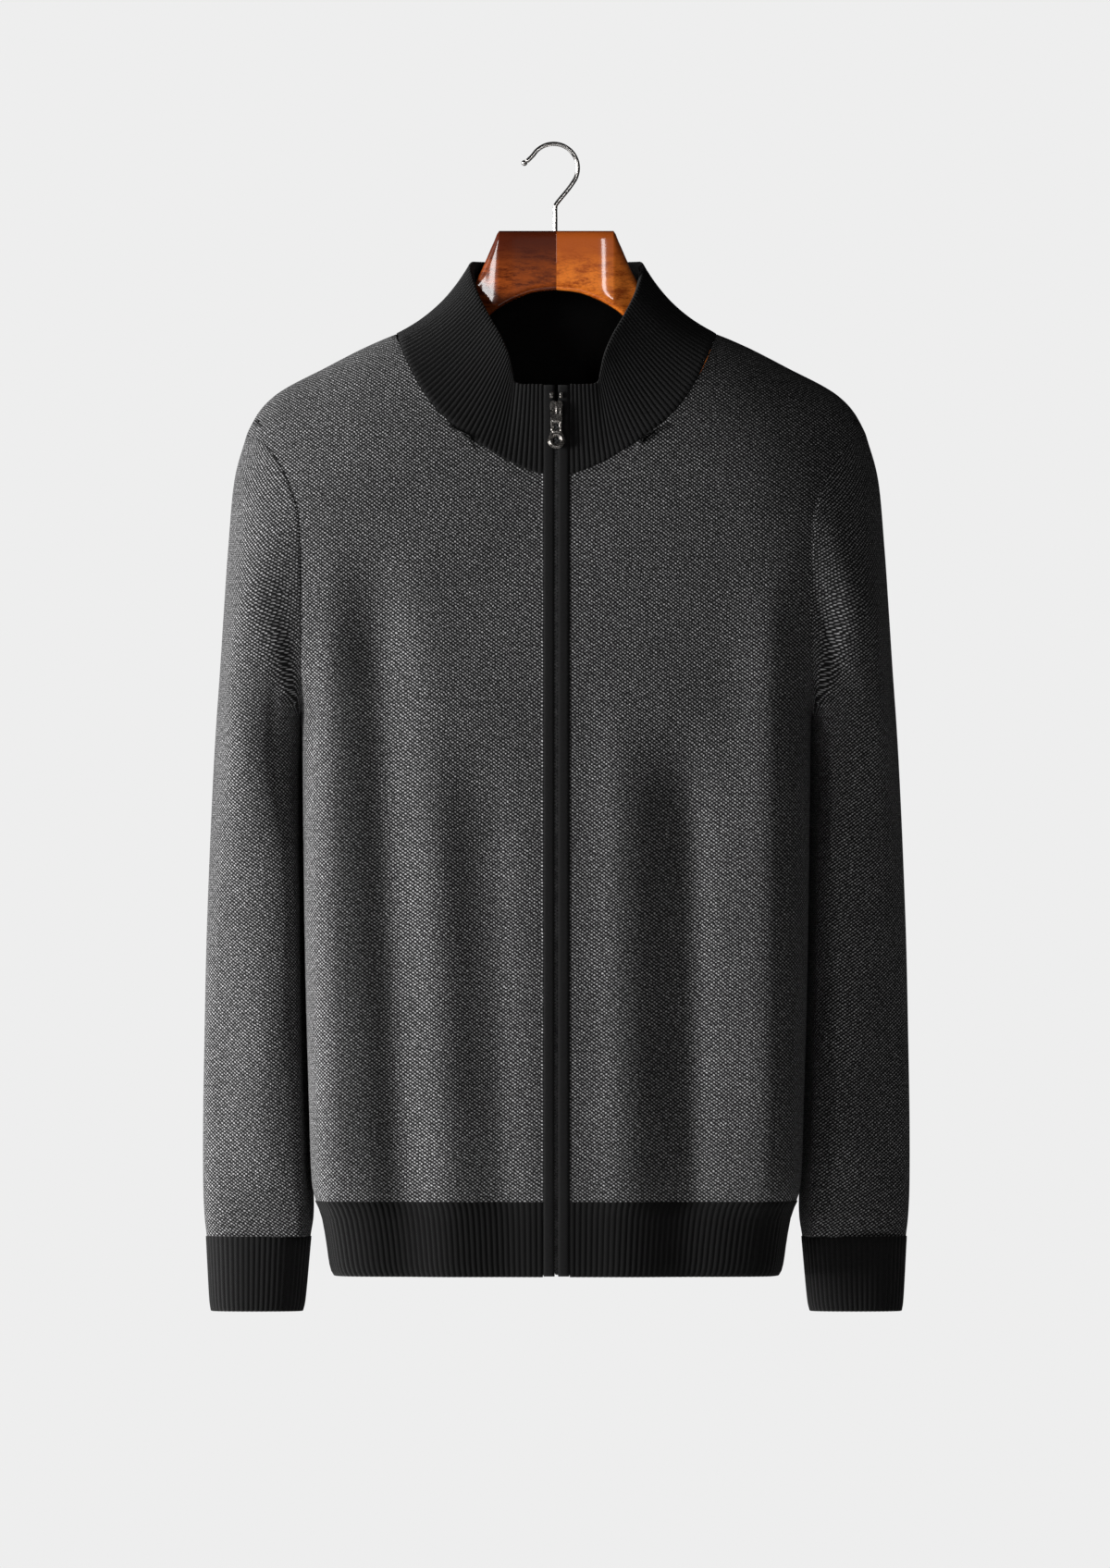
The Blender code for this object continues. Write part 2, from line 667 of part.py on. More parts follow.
def neck_seam(sheets):
    """The neckline from the right of the zip round the back to the left of it, with normals."""
    rows = []
    for k in range(2):
        front = {side: sheets["front", side][k][-1, : NECK_COLUMNS + 1] for side in (-1, 1)}
        back = {side: sheets["back", side][k][-1, : NECK_COLUMNS + 1] for side in (-1, 1)}
        rows.append(
            np.concatenate(
                [front[1], back[1][-2::-1], back[-1][1:], front[-1][-2::-1]]
            )
        )
    return rows


def collar_top_line(count):
    """The top edge all round, from the right of the zip to the left of it."""
    right = np.stack([COLLAR_TOP["x"], COLLAR_TOP["y"], COLLAR_TOP["z"]], axis=1)
    run = np.concatenate([[0], np.cumsum(np.linalg.norm(np.diff(right, axis=0), axis=1))])
    fine = np.linspace(0, run[-1], 200)
    half = np.stack([smooth(run, right[:, k])(fine) for k in range(3)], axis=1)
    whole = np.concatenate([half, half[-2::-1] * (-1, 1, 1)])
    return respaced(whole, count)[0]


def build_collar(sheets, collection):
    seam, seam_normals = neck_seam(sheets)
    length = np.linalg.norm(np.diff(seam, axis=0), axis=1).sum()
    count = even_columns(length, COLLAR_RIB)
    low, share, run = respaced(seam, count)
    low_normals = np.stack([np.interp(share, run, seam_normals[:, k]) for k in range(3)], axis=1)
    low_normals /= np.linalg.norm(low_normals, axis=1, keepdims=True)
    high = collar_top_line(count)
    part = share / run[-1]
    sideness = np.exp(-(((0.5 - np.abs(part - 0.5)) - COLLAR_BOW[0]) / COLLAR_BOW[1]) ** 2)
    middle = (low + high) / 2
    out = middle * (1, 1, 0)
    out /= np.linalg.norm(out, axis=1, keepdims=True)
    sag = 2 * COLLAR_SAG * (COLLAR_BOW[2] + (1 - COLLAR_BOW[2]) * sideness)
    bend = middle - (out + (0, 0, 1.1)) * sag[:, None]
    points = np.array(
        [low * (1 - v) ** 2 + bend * 2 * v * (1 - v) + high * v**2 for v in COLLAR_ROWS]
    )
    rise = points[1] - points[0]
    points[0] += rise / np.linalg.norm(rise, axis=1, keepdims=True) * COLLAR_GAP
    normals = normals_of(points)
    normals[0] = low_normals
    flatten(normals[:, 0], 0)
    flatten(normals[:, -1], 0)
    ribbed_wall("collar", points, normals, COLLAR_WALL, collection)
    return points


def front_line(sheets, collar):
    """The front's middle as (y, z), from the collar's top down to the hem."""
    parts = [
        collar[::-1, 0, 1:],
        sheets["front", 1][0][::-1, 0, 1:],
        hem_sheet(sheets, "front", 1)[0][:, 0, 1:],
    ]
    return np.concatenate(parts)


def strip_object(name, line, x_places, front, back, collection):
    """A strip down the front's middle, its outer points on the line and moved out from it."""
    outer = np.array([[(x, y + front + lift, z) for x, lift in x_places] for y, z in line])
    ends = (x_places[0][0], x_places[-1][0])
    inner = np.array([[(x, y + back, z) for x in ends] for y, z in line])
    return wall_object(name, outer, inner, collection, step=len(x_places) - 1)


def part_of_line(line, top, bottom):
    """The stretch of the front line between two heights, with a point at each."""
    inside = line[(line[:, 1] < top - LINE_STEP) & (line[:, 1] > bottom + LINE_STEP)]
    y_at = line[::-1, 0]
    z_at = line[::-1, 1]
    ends = [(np.interp(z, z_at, y_at), z) for z in (top, bottom)]
    return np.array([ends[0], *inside, ends[1]])


def build_zip(line, collection):
    """Two knitted bands, the tapes behind them and the closed chain between."""
    chain_front = BAND_BACK + SEAM_GAP
    tape_front = chain_front + CHAIN_DEPTH + SEAM_GAP
    for side, place in ((-1, "left"), (1, "right")):
        places = [
            (side * BAND_INNER_X, BAND_EDGE_DROP),
            (side * (BAND_INNER_X + BAND_EDGE), 0.0),
            (side * (BAND_OUTER_X - BAND_EDGE), 0.0),
            (side * BAND_OUTER_X, BAND_EDGE_DROP),
        ]
        strip_object(f"placket_{place}", line, places, -BAND_PROUD, BAND_BACK, collection)
        tape = part_of_line(line, line[0, 1] - TAPE_INSET, line[-1, 1] + TAPE_INSET)
        places = [(side * TAPE_INNER_X, 0.0), (side * TAPE_OUTER_X, 0.0)]
        strip_object(
            f"zip_tape_{place}", tape, places, tape_front, tape_front + TAPE_DEPTH, collection
        )
    chain = part_of_line(line, SLIDER_TOP_Z - SLIDER_LENGTH, line[-1, 1] + CHAIN_END)
    places = [(-CHAIN_HALF_WIDTH, 0.0), (CHAIN_HALF_WIDTH, 0.0)]
    strip_object("zip_chain", chain, places, chain_front, chain_front + CHAIN_DEPTH, collection)


def box_object(name, centre, size, collection):
    bpy.ops.mesh.primitive_cube_add(size=1, location=centre)
    obj = bpy.context.object
    obj.name = name
    obj.data.transform(Matrix.Diagonal((*size, 1)))
    for other in obj.users_collection:
        other.objects.unlink(obj)
    collection.objects.link(obj)
    return obj


def join_boxes(target, helpers):
    for helper in helpers:
        union = target.modifiers.new("join", "BOOLEAN")
        union.operation = "UNION"
        union.object = helper
        helper.hide_render = True
        helper.display_type = "WIRE"


def flat_outline(name, outlines, thickness, collection):
    """A plate in the XZ plane from a closed outline and its holes, centred on y = 0."""
    curve = bpy.data.curves.new(name, "CURVE")
    curve.dimensions = "2D"
    curve.fill_mode = "BOTH"
    curve.extrude = thickness / 2
    for outline in outlines:
        spline = curve.splines.new("POLY")
        spline.points.add(len(outline) - 1)
        for point, (x, z) in zip(spline.points, outline):
            point.co = (x, z, 0, 1)
        spline.use_cyclic_u = True
    obj = bpy.data.objects.new(name, curve)
    obj.rotation_euler = (math.pi / 2, 0, 0)
    collection.objects.link(obj)
    return obj


def arc(centre_x, centre_z, radius_x, radius_z, start, end, count):
    """Points on an oval arc, angles in degrees from +X towards +Z."""
    angles = np.radians(np.linspace(start, end, count))
    return [(centre_x + radius_x * math.cos(a), centre_z + radius_z * math.sin(a)) for a in angles]


def line_y(line, z):
    return float(np.interp(z, line[::-1, 1], line[::-1, 0]))


def build_slider(line, collection, cutters):
    """The slider: a plate before the bands, a plate behind the tapes and a post between."""
    middle_z = SLIDER_TOP_Z - SLIDER_LENGTH / 2
    top_y, low_y = (line_y(line, z) for z in (SLIDER_TOP_Z, SLIDER_TOP_Z - SLIDER_LENGTH))
    tilt = math.atan2(low_y - top_y, SLIDER_LENGTH)
    frame = bpy.data.objects.new("slider_frame", None)
    frame.location = (0, (top_y + low_y) / 2 - BAND_PROUD, middle_z)
    frame.rotation_euler = (tilt, 0, 0)
    collection.objects.link(frame)
    back_y = BAND_PROUD + BAND_BACK + CHAIN_DEPTH + TAPE_DEPTH + 5 * SEAM_GAP
    front_y = -SEAM_GAP - SLIDER_PLATE / 2
    front = box_object(
        "slider", (0, front_y, 0), (SLIDER_WIDTH, SLIDER_PLATE, SLIDER_LENGTH), collection
    )
    post = box_object(
        "slider_post",
        (0, (back_y + front_y) / 2, SLIDER_POST_RISE),
        (SLIDER_POST_SIZE[0], back_y - front_y, SLIDER_POST_SIZE[1]),
        cutters,
    )
    back = box_object("slider_back", (0, back_y, 0), SLIDER_BACK_SIZE, cutters)
    for obj in (front, post, back):
        obj.parent = frame
    for vertex in front.data.vertices:
        if vertex.co.z < 0:
            vertex.co.x *= SLIDER_TAPER
    join_boxes(front, (post, back))
    for side, place in ((-1, "left"), (1, "right")):
        stop_y = line_y(line, STOP_Z) - BAND_PROUD - SEAM_GAP - STOP_SIZE[1] / 2
        stop = box_object(f"top_stop_{place}", (side * STOP_X, stop_y, STOP_Z), STOP_SIZE, collection)
        stop.rotation_euler = (tilt, 0, 0)
    build_bail(frame, middle_z, collection)
    return frame


def build_bail(frame, middle_z, collection):
    """The wire arched over the pull's bar, with both feet on the slider."""
    foot_y = -SEAM_GAP - SLIDER_PLATE - SEAM_GAP - BAIL_WIRE
    centre_z = (BAIL_TOP_Z + BAIL_LOW_Z) / 2 - middle_z
    reach = (BAIL_TOP_Z - BAIL_LOW_Z) / 2
    route = [
        (foot_y - BAIL_RISE * math.sin(a) ** 0.6, centre_z + reach * math.cos(a))
        for a in np.linspace(0, math.pi, 9)
    ]
    curve = bpy.data.curves.new("slider_bail", "CURVE")
    curve.dimensions = "3D"
    curve.bevel_depth = BAIL_WIRE
    curve.bevel_resolution = 2
    curve.use_fill_caps = True
    spline = curve.splines.new("POLY")
    spline.points.add(len(route) - 1)
    for point, (y, z) in zip(spline.points, route):
        point.co = (0, y, z, 1)
    obj = bpy.data.objects.new("slider_bail", curve)
    obj.parent = frame
    collection.objects.link(obj)


def build_pull(line, frame, collection):
    """The pull: a bar under the bail, two arms, a slotted plate and a ring."""
    length = PULL_RING_DROP + PULL_RING_RADIUS
    top_y, low_y = line_y(line, PULL_Z), line_y(line, PULL_Z - length)
    bpy.context.view_layer.update()
    bar_y = -2 * SEAM_GAP - SLIDER_PLATE - PULL_THICKNESS / 2
    pivot = bpy.data.objects.new("pull_pivot", None)
    pivot.location = frame.matrix_world @ Vector((0, bar_y, PULL_Z - frame.location.z))
    pivot.rotation_euler = (math.atan2(low_y - top_y, length), 0, 0)
    collection.objects.link(pivot)
    wide, waist = PULL_HALF_WIDTH, PULL_WAIST_HALF_WIDTH
    slot_width, slot_top, slot_low = PULL_SLOT
    outer = [(-wide, PULL_BAR), (-wide, -slot_top), (-waist, -slot_low)]
    outer += arc(0, -PULL_RING_DROP, PULL_RING_RADIUS, PULL_RING_RADIUS, 155, 385, 15)
    outer += [(waist, -slot_low), (wide, -slot_top), (wide, PULL_BAR)]
    hole = arc(0, -PULL_RING_DROP, *PULL_HOLE, 0, 330, 12)
    windows = [
        [(-half, -top), (half, -top), (half, -low), (-half, -low)]
        for half, top, low in (
            (PULL_WINDOW_HALF_WIDTH, PULL_BAR, PULL_WINDOW_DROP),
            (slot_width, slot_top, slot_low),
        )
    ]
    tab = flat_outline("pull_tab", [outer, hole, *windows], PULL_THICKNESS, collection)
    tab.parent = pivot


def hanger_sheet(side):
    """Sections of one arm, each a rounded box, from the middle of the hanger outwards."""
    turn = np.linspace(0, 2 * math.pi, 21)[:-1]
    rings = []
    for x, top, bottom, half_thickness, corner in zip(*HANGER.values()):
        y = half_thickness * power_wave(np.cos(turn), corner)
        z = (top + bottom) / 2 + (top - bottom) / 2 * power_wave(np.sin(turn), corner)
        rings.append(np.stack([np.full_like(y, side * x), y, z], axis=1))
    return np.array(rings)


def build_hanger(collection):
    for side, place in ((-1, "left"), (1, "right")):
        rings = hanger_sheet(side)
        count, around = rings.shape[:2]
        faces = [tuple(range(around)), tuple((count - 1) * around + k for k in range(around))]
        for r in range(count - 1):
            for c in range(around):
                d = (c + 1) % around
                corners = (r * around + c, r * around + d, (r + 1) * around + d)
                faces.append((*corners, (r + 1) * around + c))
        mesh_object(f"hanger_{place}", rings.reshape(-1, 3), faces, collection)


def build_hook(collection):
    """Steel wire: a stem up from the wood, a bend, and three quarters of a circle."""
    centre_z = HOOK_WIRE - HOOK_RADIUS
    route = [(HOOK_BEND[0][0], HANGER["top"][0] + SEAM_GAP), *HOOK_BEND]
    route += arc(HOOK_X, centre_z, HOOK_RADIUS, HOOK_RADIUS, -32, 148, 19)
    route += HOOK_END
    curve = bpy.data.curves.new("hook", "CURVE")
    curve.dimensions = "3D"
    curve.bevel_depth = HOOK_WIRE
    curve.bevel_resolution = 2
    curve.use_fill_caps = True
    spline = curve.splines.new("POLY")
    spline.points.add(len(route) - 1)
    for point, (x, z) in zip(spline.points, route):
        point.co = (x, 0, z, 1)
    collection.objects.link(bpy.data.objects.new("hook", curve))
    last, before = Vector((*route[-1], 0)), Vector((*route[-2], 0))
    centre = last + (last - before).normalized() * (HOOK_TIP_RADIUS + SEAM_GAP)
    bpy.ops.mesh.primitive_uv_sphere_add(
        segments=12, ring_count=8, radius=HOOK_TIP_RADIUS, location=(centre.x, 0, centre.y)
    )
    tip = bpy.context.object
    tip.name = "hook_tip"
    for other in tip.users_collection:
        other.objects.unlink(tip)
    collection.objects.link(tip)


MATERIALS = {
    # name: (colour, roughness, metallic, name starts)
    "knit": ((0.055, 0.054, 0.056), 0.95, 0.0, ("front", "back", "sleeve")),
    "rib": ((0.006, 0.006, 0.007), 0.95, 0.0, ("collar", "cuff", "hem", "placket")),
    "tape": ((0.008, 0.008, 0.008), 0.90, 0.0, ("zip_tape",)),
    "gunmetal": ((0.28, 0.26, 0.25), 0.30, 1.0, ("zip_chain", "slider", "top_stop", "pull")),
    "wood": ((0.30, 0.075, 0.018), 0.18, 0.0, ("hanger",)),
    "steel": ((0.60, 0.60, 0.60), 0.22, 1.0, ("hook",)),
}


def dress(collection):
    for name, (colour, roughness, metallic, starts) in MATERIALS.items():
        material = bpy.data.materials.new(name)
        material.use_nodes = True
        shader = material.node_tree.nodes["Principled BSDF"]
        shader.inputs["Base Color"].default_value = (*colour, 1)
        shader.inputs["Roughness"].default_value = roughness
        shader.inputs["Metallic"].default_value = metallic
        for obj in collection.objects:
            if obj.type != "EMPTY" and obj.name.startswith(starts):
                obj.data.materials.clear()
                obj.data.materials.append(material)


def main():
    for obj in list(bpy.data.objects):
        bpy.data.objects.remove(obj)
    parts = bpy.data.collections.new("zip_cardigan")
    cutters = bpy.data.collections.new("cutters")
    for collection in (parts, cutters):
        bpy.context.scene.collection.children.link(collection)
    sheets = build_panels(parts)
    build_hem(sheets, parts)
    build_sleeves(sheets, parts)
    build_cuffs(parts)
    collar = build_collar(sheets, parts)
    line = front_line(sheets, collar)
    build_zip(line, parts)
    frame = build_slider(line, parts, cutters)
    build_pull(line, frame, parts)
    build_hanger(parts)
    build_hook(parts)
    dress(parts)


main()
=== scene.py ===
"""Zip-up cardigan of two-tone knit on a wooden hanger, in a plain pale studio.

Every cloth piece is drawn again from the sections that the frame's solids were made from,
with finer rows and columns, its ribs, and the knit's own width and length as texture
coordinates. Metres, +Z up, the front towards -Y.
"""

import math

import bpy
import numpy as np
from numpy.linalg import norm
from mathutils import Matrix, Vector


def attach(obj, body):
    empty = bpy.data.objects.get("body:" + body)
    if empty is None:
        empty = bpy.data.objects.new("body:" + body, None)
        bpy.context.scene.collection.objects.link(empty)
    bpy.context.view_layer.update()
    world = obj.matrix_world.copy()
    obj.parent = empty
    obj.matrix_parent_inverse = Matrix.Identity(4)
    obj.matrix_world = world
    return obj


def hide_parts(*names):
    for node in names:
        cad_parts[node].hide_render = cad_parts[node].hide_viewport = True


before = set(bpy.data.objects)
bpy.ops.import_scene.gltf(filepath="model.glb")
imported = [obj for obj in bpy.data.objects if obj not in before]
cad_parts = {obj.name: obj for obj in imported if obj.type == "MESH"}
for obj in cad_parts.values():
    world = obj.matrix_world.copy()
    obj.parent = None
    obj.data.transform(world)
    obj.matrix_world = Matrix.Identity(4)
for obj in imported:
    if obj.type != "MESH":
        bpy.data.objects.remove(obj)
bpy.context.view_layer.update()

SIDES = ((-1, "left"), (1, "right"))
FACING = {"front": -1, "back": 1}


def table(names, *rows):
    """Named columns, with a row for each section."""
    return dict(zip(names.split(), np.array(rows, float).T))


# Cloth
WALL = 0.0022
COLLAR_WALL = 0.0040
RIB_WALL = 0.0024
SEAM_GAP = 0.0003
RIB_RISE = 0.0007
KNIT_BULGES = (0.3, 0.3)
RIB_BULGES = (0.3, 0.4)
HEM_RIB = 0.0043
CUFF_RIB = 0.0037
COLLAR_RIB = 0.0042
COLLAR_GAP = 0.0010
RIB_STEP = 4

# Heights of the cut's landmarks
HEM_Z = -0.8296
HEM_SEAM_Z = -0.7750
UNDERARM_Z = -0.4200
NECK_X = 0.1180
NECK_Z = -0.1385
BACK_NECK_Z = -0.1560
START_X = {"front": 0.0098, "back": 0.0}

# The body's horizontal section at each height: a rounded box, fuller in front
TORSO = table(
    "z half_width front back front_corner back_corner",
    (-0.8296, 0.163, 0.0665, 0.0585, 3.6, 2.4),
    (-0.8245, 0.1655, 0.068, 0.06, 3.6, 2.4),
    (-0.8017, 0.169, 0.07, 0.062, 3.7, 2.4),
    (-0.784, 0.1725, 0.0715, 0.064, 3.9, 2.4),
    (-0.775, 0.1765, 0.074, 0.0665, 4, 2.4),
    (-0.765, 0.1793, 0.079, 0.0705, 4.2, 2.4),
    (-0.745, 0.1806, 0.083, 0.073, 4.4, 2.4),
    (-0.709, 0.1816, 0.0845, 0.074, 4.6, 2.4),
    (-0.641, 0.1836, 0.0855, 0.0745, 4.6, 2.4),
    (-0.573, 0.185, 0.0865, 0.075, 4.6, 2.4),
    (-0.505, 0.186, 0.0875, 0.0755, 4.5, 2.4),
    (-0.42, 0.1873, 0.088, 0.0765, 4.2, 2.4),
    (-0.38, 0.198, 0.0875, 0.0775, 4.1, 2.5),
    (-0.33, 0.215, 0.0865, 0.0785, 3.8, 2.6),
    (-0.274, 0.23, 0.084, 0.079, 3.6, 2.7),
    (-0.242, 0.234, 0.0805, 0.0785, 3.4, 2.7),
    (-0.2, 0.237, 0.077, 0.077, 3.1, 2.7),
    (-0.11, 0.238, 0.074, 0.074, 2.8, 2.7),
)

# Outlines seen from the front
SHOULDER = table(
    "x z",
    (0, -0.112),
    (0.06, -0.119),
    (0.118, -0.1385),
    (0.1395, -0.1476),
    (0.1714, -0.1639),
    (0.2023, -0.1802),
    (0.2125, -0.1884),
    (0.2193, -0.1965),
    (0.224, -0.2047),
    (0.2278, -0.2128),
    (0.2302, -0.221),
    (0.24, -0.27),
)
NECKLINE = table(
    "x z",
    (0, -0.244),
    (0.0122, -0.242),
    (0.034, -0.2335),
    (0.0555, -0.2207),
    (0.0765, -0.206),
    (0.094, -0.187),
    (0.108, -0.163),
    (0.118, -0.1385),
)
ARMHOLE = table(
    "z x",
    (-0.42, 0.1873),
    (-0.39, 0.187),
    (-0.36, 0.1868),
    (-0.31, 0.1872),
    (-0.274, 0.189),
    (-0.2465, 0.1972),
    (-0.234, 0.2035),
    (-0.2175, 0.2165),
    (-0.2128, 0.2278),
    (-0.208, 0.2345),
    (-0.204, 0.237),
    (-0.11, 0.238),
)
SHOULDER_FALL = 0.16
SHOULDER_POWER = 2.2

# Folds of the hanging cloth: soft troughs (rise below 0) and ridges, from a top to a low end
FRONT_FOLDS = table(
    "top_x top_z low_x low_z width rise",
    (-0.168, -0.3, -0.163, -0.8, 0.013, 0.004),
    (-0.134, -0.29, -0.112, -0.8, 0.022, -0.014),
    (-0.091, -0.42, -0.08, -0.8, 0.018, 0.003),
    (-0.058, -0.44, -0.032, -0.8, 0.024, -0.0055),
    (0.045, -0.4, 0.05, -0.8, 0.022, 0.005),
    (0.095, -0.42, 0.096, -0.8, 0.022, -0.011),
    (0.158, -0.31, 0.155, -0.8, 0.02, 0.0085),
)
BACK_FOLDS = table(
    "top_x top_z low_x low_z width rise",
    (-0.12, -0.4, -0.112, -0.8, 0.02, -0.008),
    (-0.07, -0.33, -0.076, -0.8, 0.022, 0.005),
    (-0.03, -0.48, -0.018, -0.8, 0.018, -0.006),
    (0.022, -0.36, 0.034, -0.8, 0.02, 0.005),
    (0.08, -0.44, 0.071, -0.8, 0.02, -0.009),
    (0.125, -0.34, 0.12, -0.8, 0.018, 0.005),
)
FOLD_FADE = 0.10
FOLD_START = 0.02
FOLD_CLEAR_X = (0.010, 0.045)
FOLD_SIDE = (0.930, 0.995)
RIB_HOLD = 0.45
RIB_HOLD_DROP = (0.765, 0.790)

# The sleeve's rings, each between a point at the body and one on the outer outline
SLEEVE = table(
    "inner_x inner_z outer_x outer_z half_depth centre_y own_shape",
    (0.1882, -0.4215, 0.2366, -0.2455, 0.069, 0, 0.25),
    (0.1882, -0.424, 0.2412, -0.2944, 0.072, 0.003, 0.6),
    (0.1881, -0.428, 0.2444, -0.34, 0.073, 0.008, 0.9),
    (0.1875, -0.435, 0.2474, -0.385, 0.072, 0.014, 1),
    (0.1865, -0.448, 0.2503, -0.425, 0.069, 0.02, 1),
    (0.186, -0.475, 0.2524, -0.46, 0.066, 0.023, 1),
    (0.1851, -0.525, 0.255, -0.515, 0.062, 0.025, 1),
    (0.1839, -0.59, 0.2576, -0.585, 0.057, 0.025, 1),
    (0.1826, -0.65, 0.259, -0.65, 0.052, 0.024, 1),
    (0.1808, -0.71, 0.26, -0.71, 0.047, 0.022, 1),
    (0.1788, -0.76, 0.26, -0.76, 0.042, 0.019, 1),
    (0.1785, -0.785, 0.259, -0.785, 0.036, 0.015, 1),
    (0.1808, -0.8014, 0.2572, -0.8014, 0.029, 0.012, 1),
)
SLEEVE_POWER = 2.3
SLEEVE_LEAN = -0.50
SLEEVE_LEAN_DROP = (0.43, 0.54)
SLEEVE_FADE = 0.06
SLEEVE_GAP = SEAM_GAP * 1.5
SLEEVE_FOLDS = table(
    "turn top_z low_z width rise",
    (0.16, -0.3, -0.56, 0.055, 0.003),
    (0.3, -0.36, -0.7, 0.05, -0.004),
    (0.12, -0.56, -0.78, 0.05, -0.003),
    (0.22, -0.6, -0.79, 0.05, 0.003),
    (0.7, -0.4, -0.72, 0.06, -0.005),
    (0.84, -0.36, -0.76, 0.06, 0.004),
)
CUFF = table(
    "z inner_x outer_x half_depth centre_y",
    (-0.8017, 0.1808, 0.2572, 0.029, 0.012),
    (-0.8452, 0.1848, 0.2549, 0.027, 0.012),
    (-0.856, 0.1868, 0.2536, 0.026, 0.012),
)
CUFF_REACH = (0.036, 0.027)

# The collar's top edge, from the zip round to the middle of the back
COLLAR_TOP = table(
    "x y z",
    (0.0098, -0.06, -0.1768),
    (0.023, -0.0595, -0.1768),
    (0.0305, -0.0575, -0.175),
    (0.032, -0.0555, -0.169),
    (0.035, -0.0505, -0.156),
    (0.0415, -0.041, -0.14),
    (0.05, -0.03, -0.125),
    (0.0605, -0.014, -0.103),
    (0.064, 0.004, -0.089),
    (0.061, 0.024, -0.085),
    (0.046, 0.044, -0.085),
    (0.024, 0.056, -0.0855),
    (0, 0.06, -0.086),
)
COLLAR_SAG = 0.0035
COLLAR_BOW = (0.29, 0.10, 0.25, 1.1)

# Zip
BAND_INNER_X = 0.0013
BAND_OUTER_X = 0.0094
BAND_PROUD = 0.0010
BAND_BACK = 0.0024
BAND_CORNERS = (3.2, 2.6)
BAND_FULL = 1.15
CHAIN_DEPTH = 0.0016
ZIP_FOOT = 0.0008
TAPE_INNER_X = 0.0012
TAPE_OUTER_X = 0.0145
TAPE_DEPTH = 0.0008
TAPE_INSET = 0.002
LINE_STEP = 0.001
SLIDER_TOP_Z = -0.1882
SLIDER_LENGTH = 0.0148
SLIDER_WIDTH = 0.0094
SLIDER_PLATE = 0.0014
SLIDER_BACK = 0.0010
SLIDER_BACK_SHARE = (0.85, 0.86)
SLIDER_EDGES = (0.0004, 0.0003, 0.0002)
SLIDER_POST = (0.0008, 0.00225)
SLIDER_POST_RISE = 0.0033
STOP_Z = -0.1842
STOP_SIZE = (0.0022, 0.0014, 0.0044)
STOP_X = 0.0035
BAIL_WIRE = 0.0005
BAIL_TOP_Z = -0.1903
BAIL_LOW_Z = -0.1992
BAIL_RISE = 0.0018
BAIL_POWER = 0.6

# The pull, measured down from its bar, which turns under the bail
PULL_Z = -0.1945
PULL_THICKNESS = 0.0014
PULL_HALF_WIDTH = 0.0042
PULL_BAR = 0.0006
PULL_WINDOW_HALF_WIDTH = 0.0027
PULL_WINDOW_DROP = 0.0085
PULL_WAIST_HALF_WIDTH = 0.0036
PULL_SLOT = (0.0019, 0.0115, 0.0170)
PULL_RING_DROP = 0.0249
PULL_RING_RADIUS = 0.0062
PULL_HOLE = (0.00265, 0.0031)
PULL_EDGE = 0.00035
RING_WIRE, RING_SINK = 0.0009, 0.0002
RAIL_WIRE, RAIL_SINK = 0.0007, 0.0003
RAIL_INSET, RAIL_ENDS = 0.0009, (-0.0098, -0.0178)
CROSS_INSET, CROSS_ENDS = 0.0011, (-0.0100, -0.0184)

# Hanger, from its middle out along one arm
HANGER = table(
    "x top bottom half_thickness corner",
    (0.0003, -0.0626, -0.1062, 0.0135, 9),
    (0.015, -0.0626, -0.1078, 0.0135, 9),
    (0.03, -0.0626, -0.113, 0.0135, 9),
    (0.042, -0.0626, -0.1195, 0.0128, 9),
    (0.0456, -0.07, -0.122, 0.0119, 8),
    (0.0585, -0.098, -0.134, 0.0085, 5),
    (0.07, -0.1135, -0.143, 0.0078, 3),
    (0.0836, -0.1262, -0.153, 0.0075, 2.4),
    (0.1, -0.1385, -0.164, 0.0078, 2.3),
    (0.118, -0.1495, -0.174, 0.0095, 2.3),
    (0.15, -0.1625, -0.19, 0.015, 2.4),
    (0.185, -0.18, -0.206, 0.0165, 2.3),
    (0.208, -0.1965, -0.215, 0.014, 2.2),
    (0.215, -0.206, -0.2145, 0.008, 2),
)
GLUE_X = 0.00002
WOOD_SHARP = 28
HOOK_WIRE = 0.0016
HOOK_RADIUS = 0.0178
HOOK_X = -0.0020
HOOK_TURN = (-32, 148)
HOOK_STEM = (-0.002, 0.009)
HOOK_TIP_RADIUS = 0.0022
HOOK_BEND = ((-0.0008, -0.0450), (0.0002, -0.0424), (0.0040, -0.0376), (0.0088, -0.0318))
HOOK_END = ((-0.0203, -0.0100), (-0.0218, -0.0112))

# How finely each piece is divided
LOW_ROWS = 64
HIGH_ROWS = 60
ROW_EASE = 1.8
NECK_COLUMNS = 52
SHOULDER_COLUMNS = 52
FINE_COLUMNS = 600
HEM_HEIGHTS = (-0.7800, -0.7880, -0.7980, -0.8080, -0.8160, -0.8220, -0.8262)
HEM_ROWS = np.array([HEM_SEAM_Z - SEAM_GAP, *HEM_HEIGHTS, HEM_Z])
COLLAR_ROWS = np.linspace(0, 1, 17)
RING_STEPS = 8
RIM = 5
RIB_COLUMNS = 8


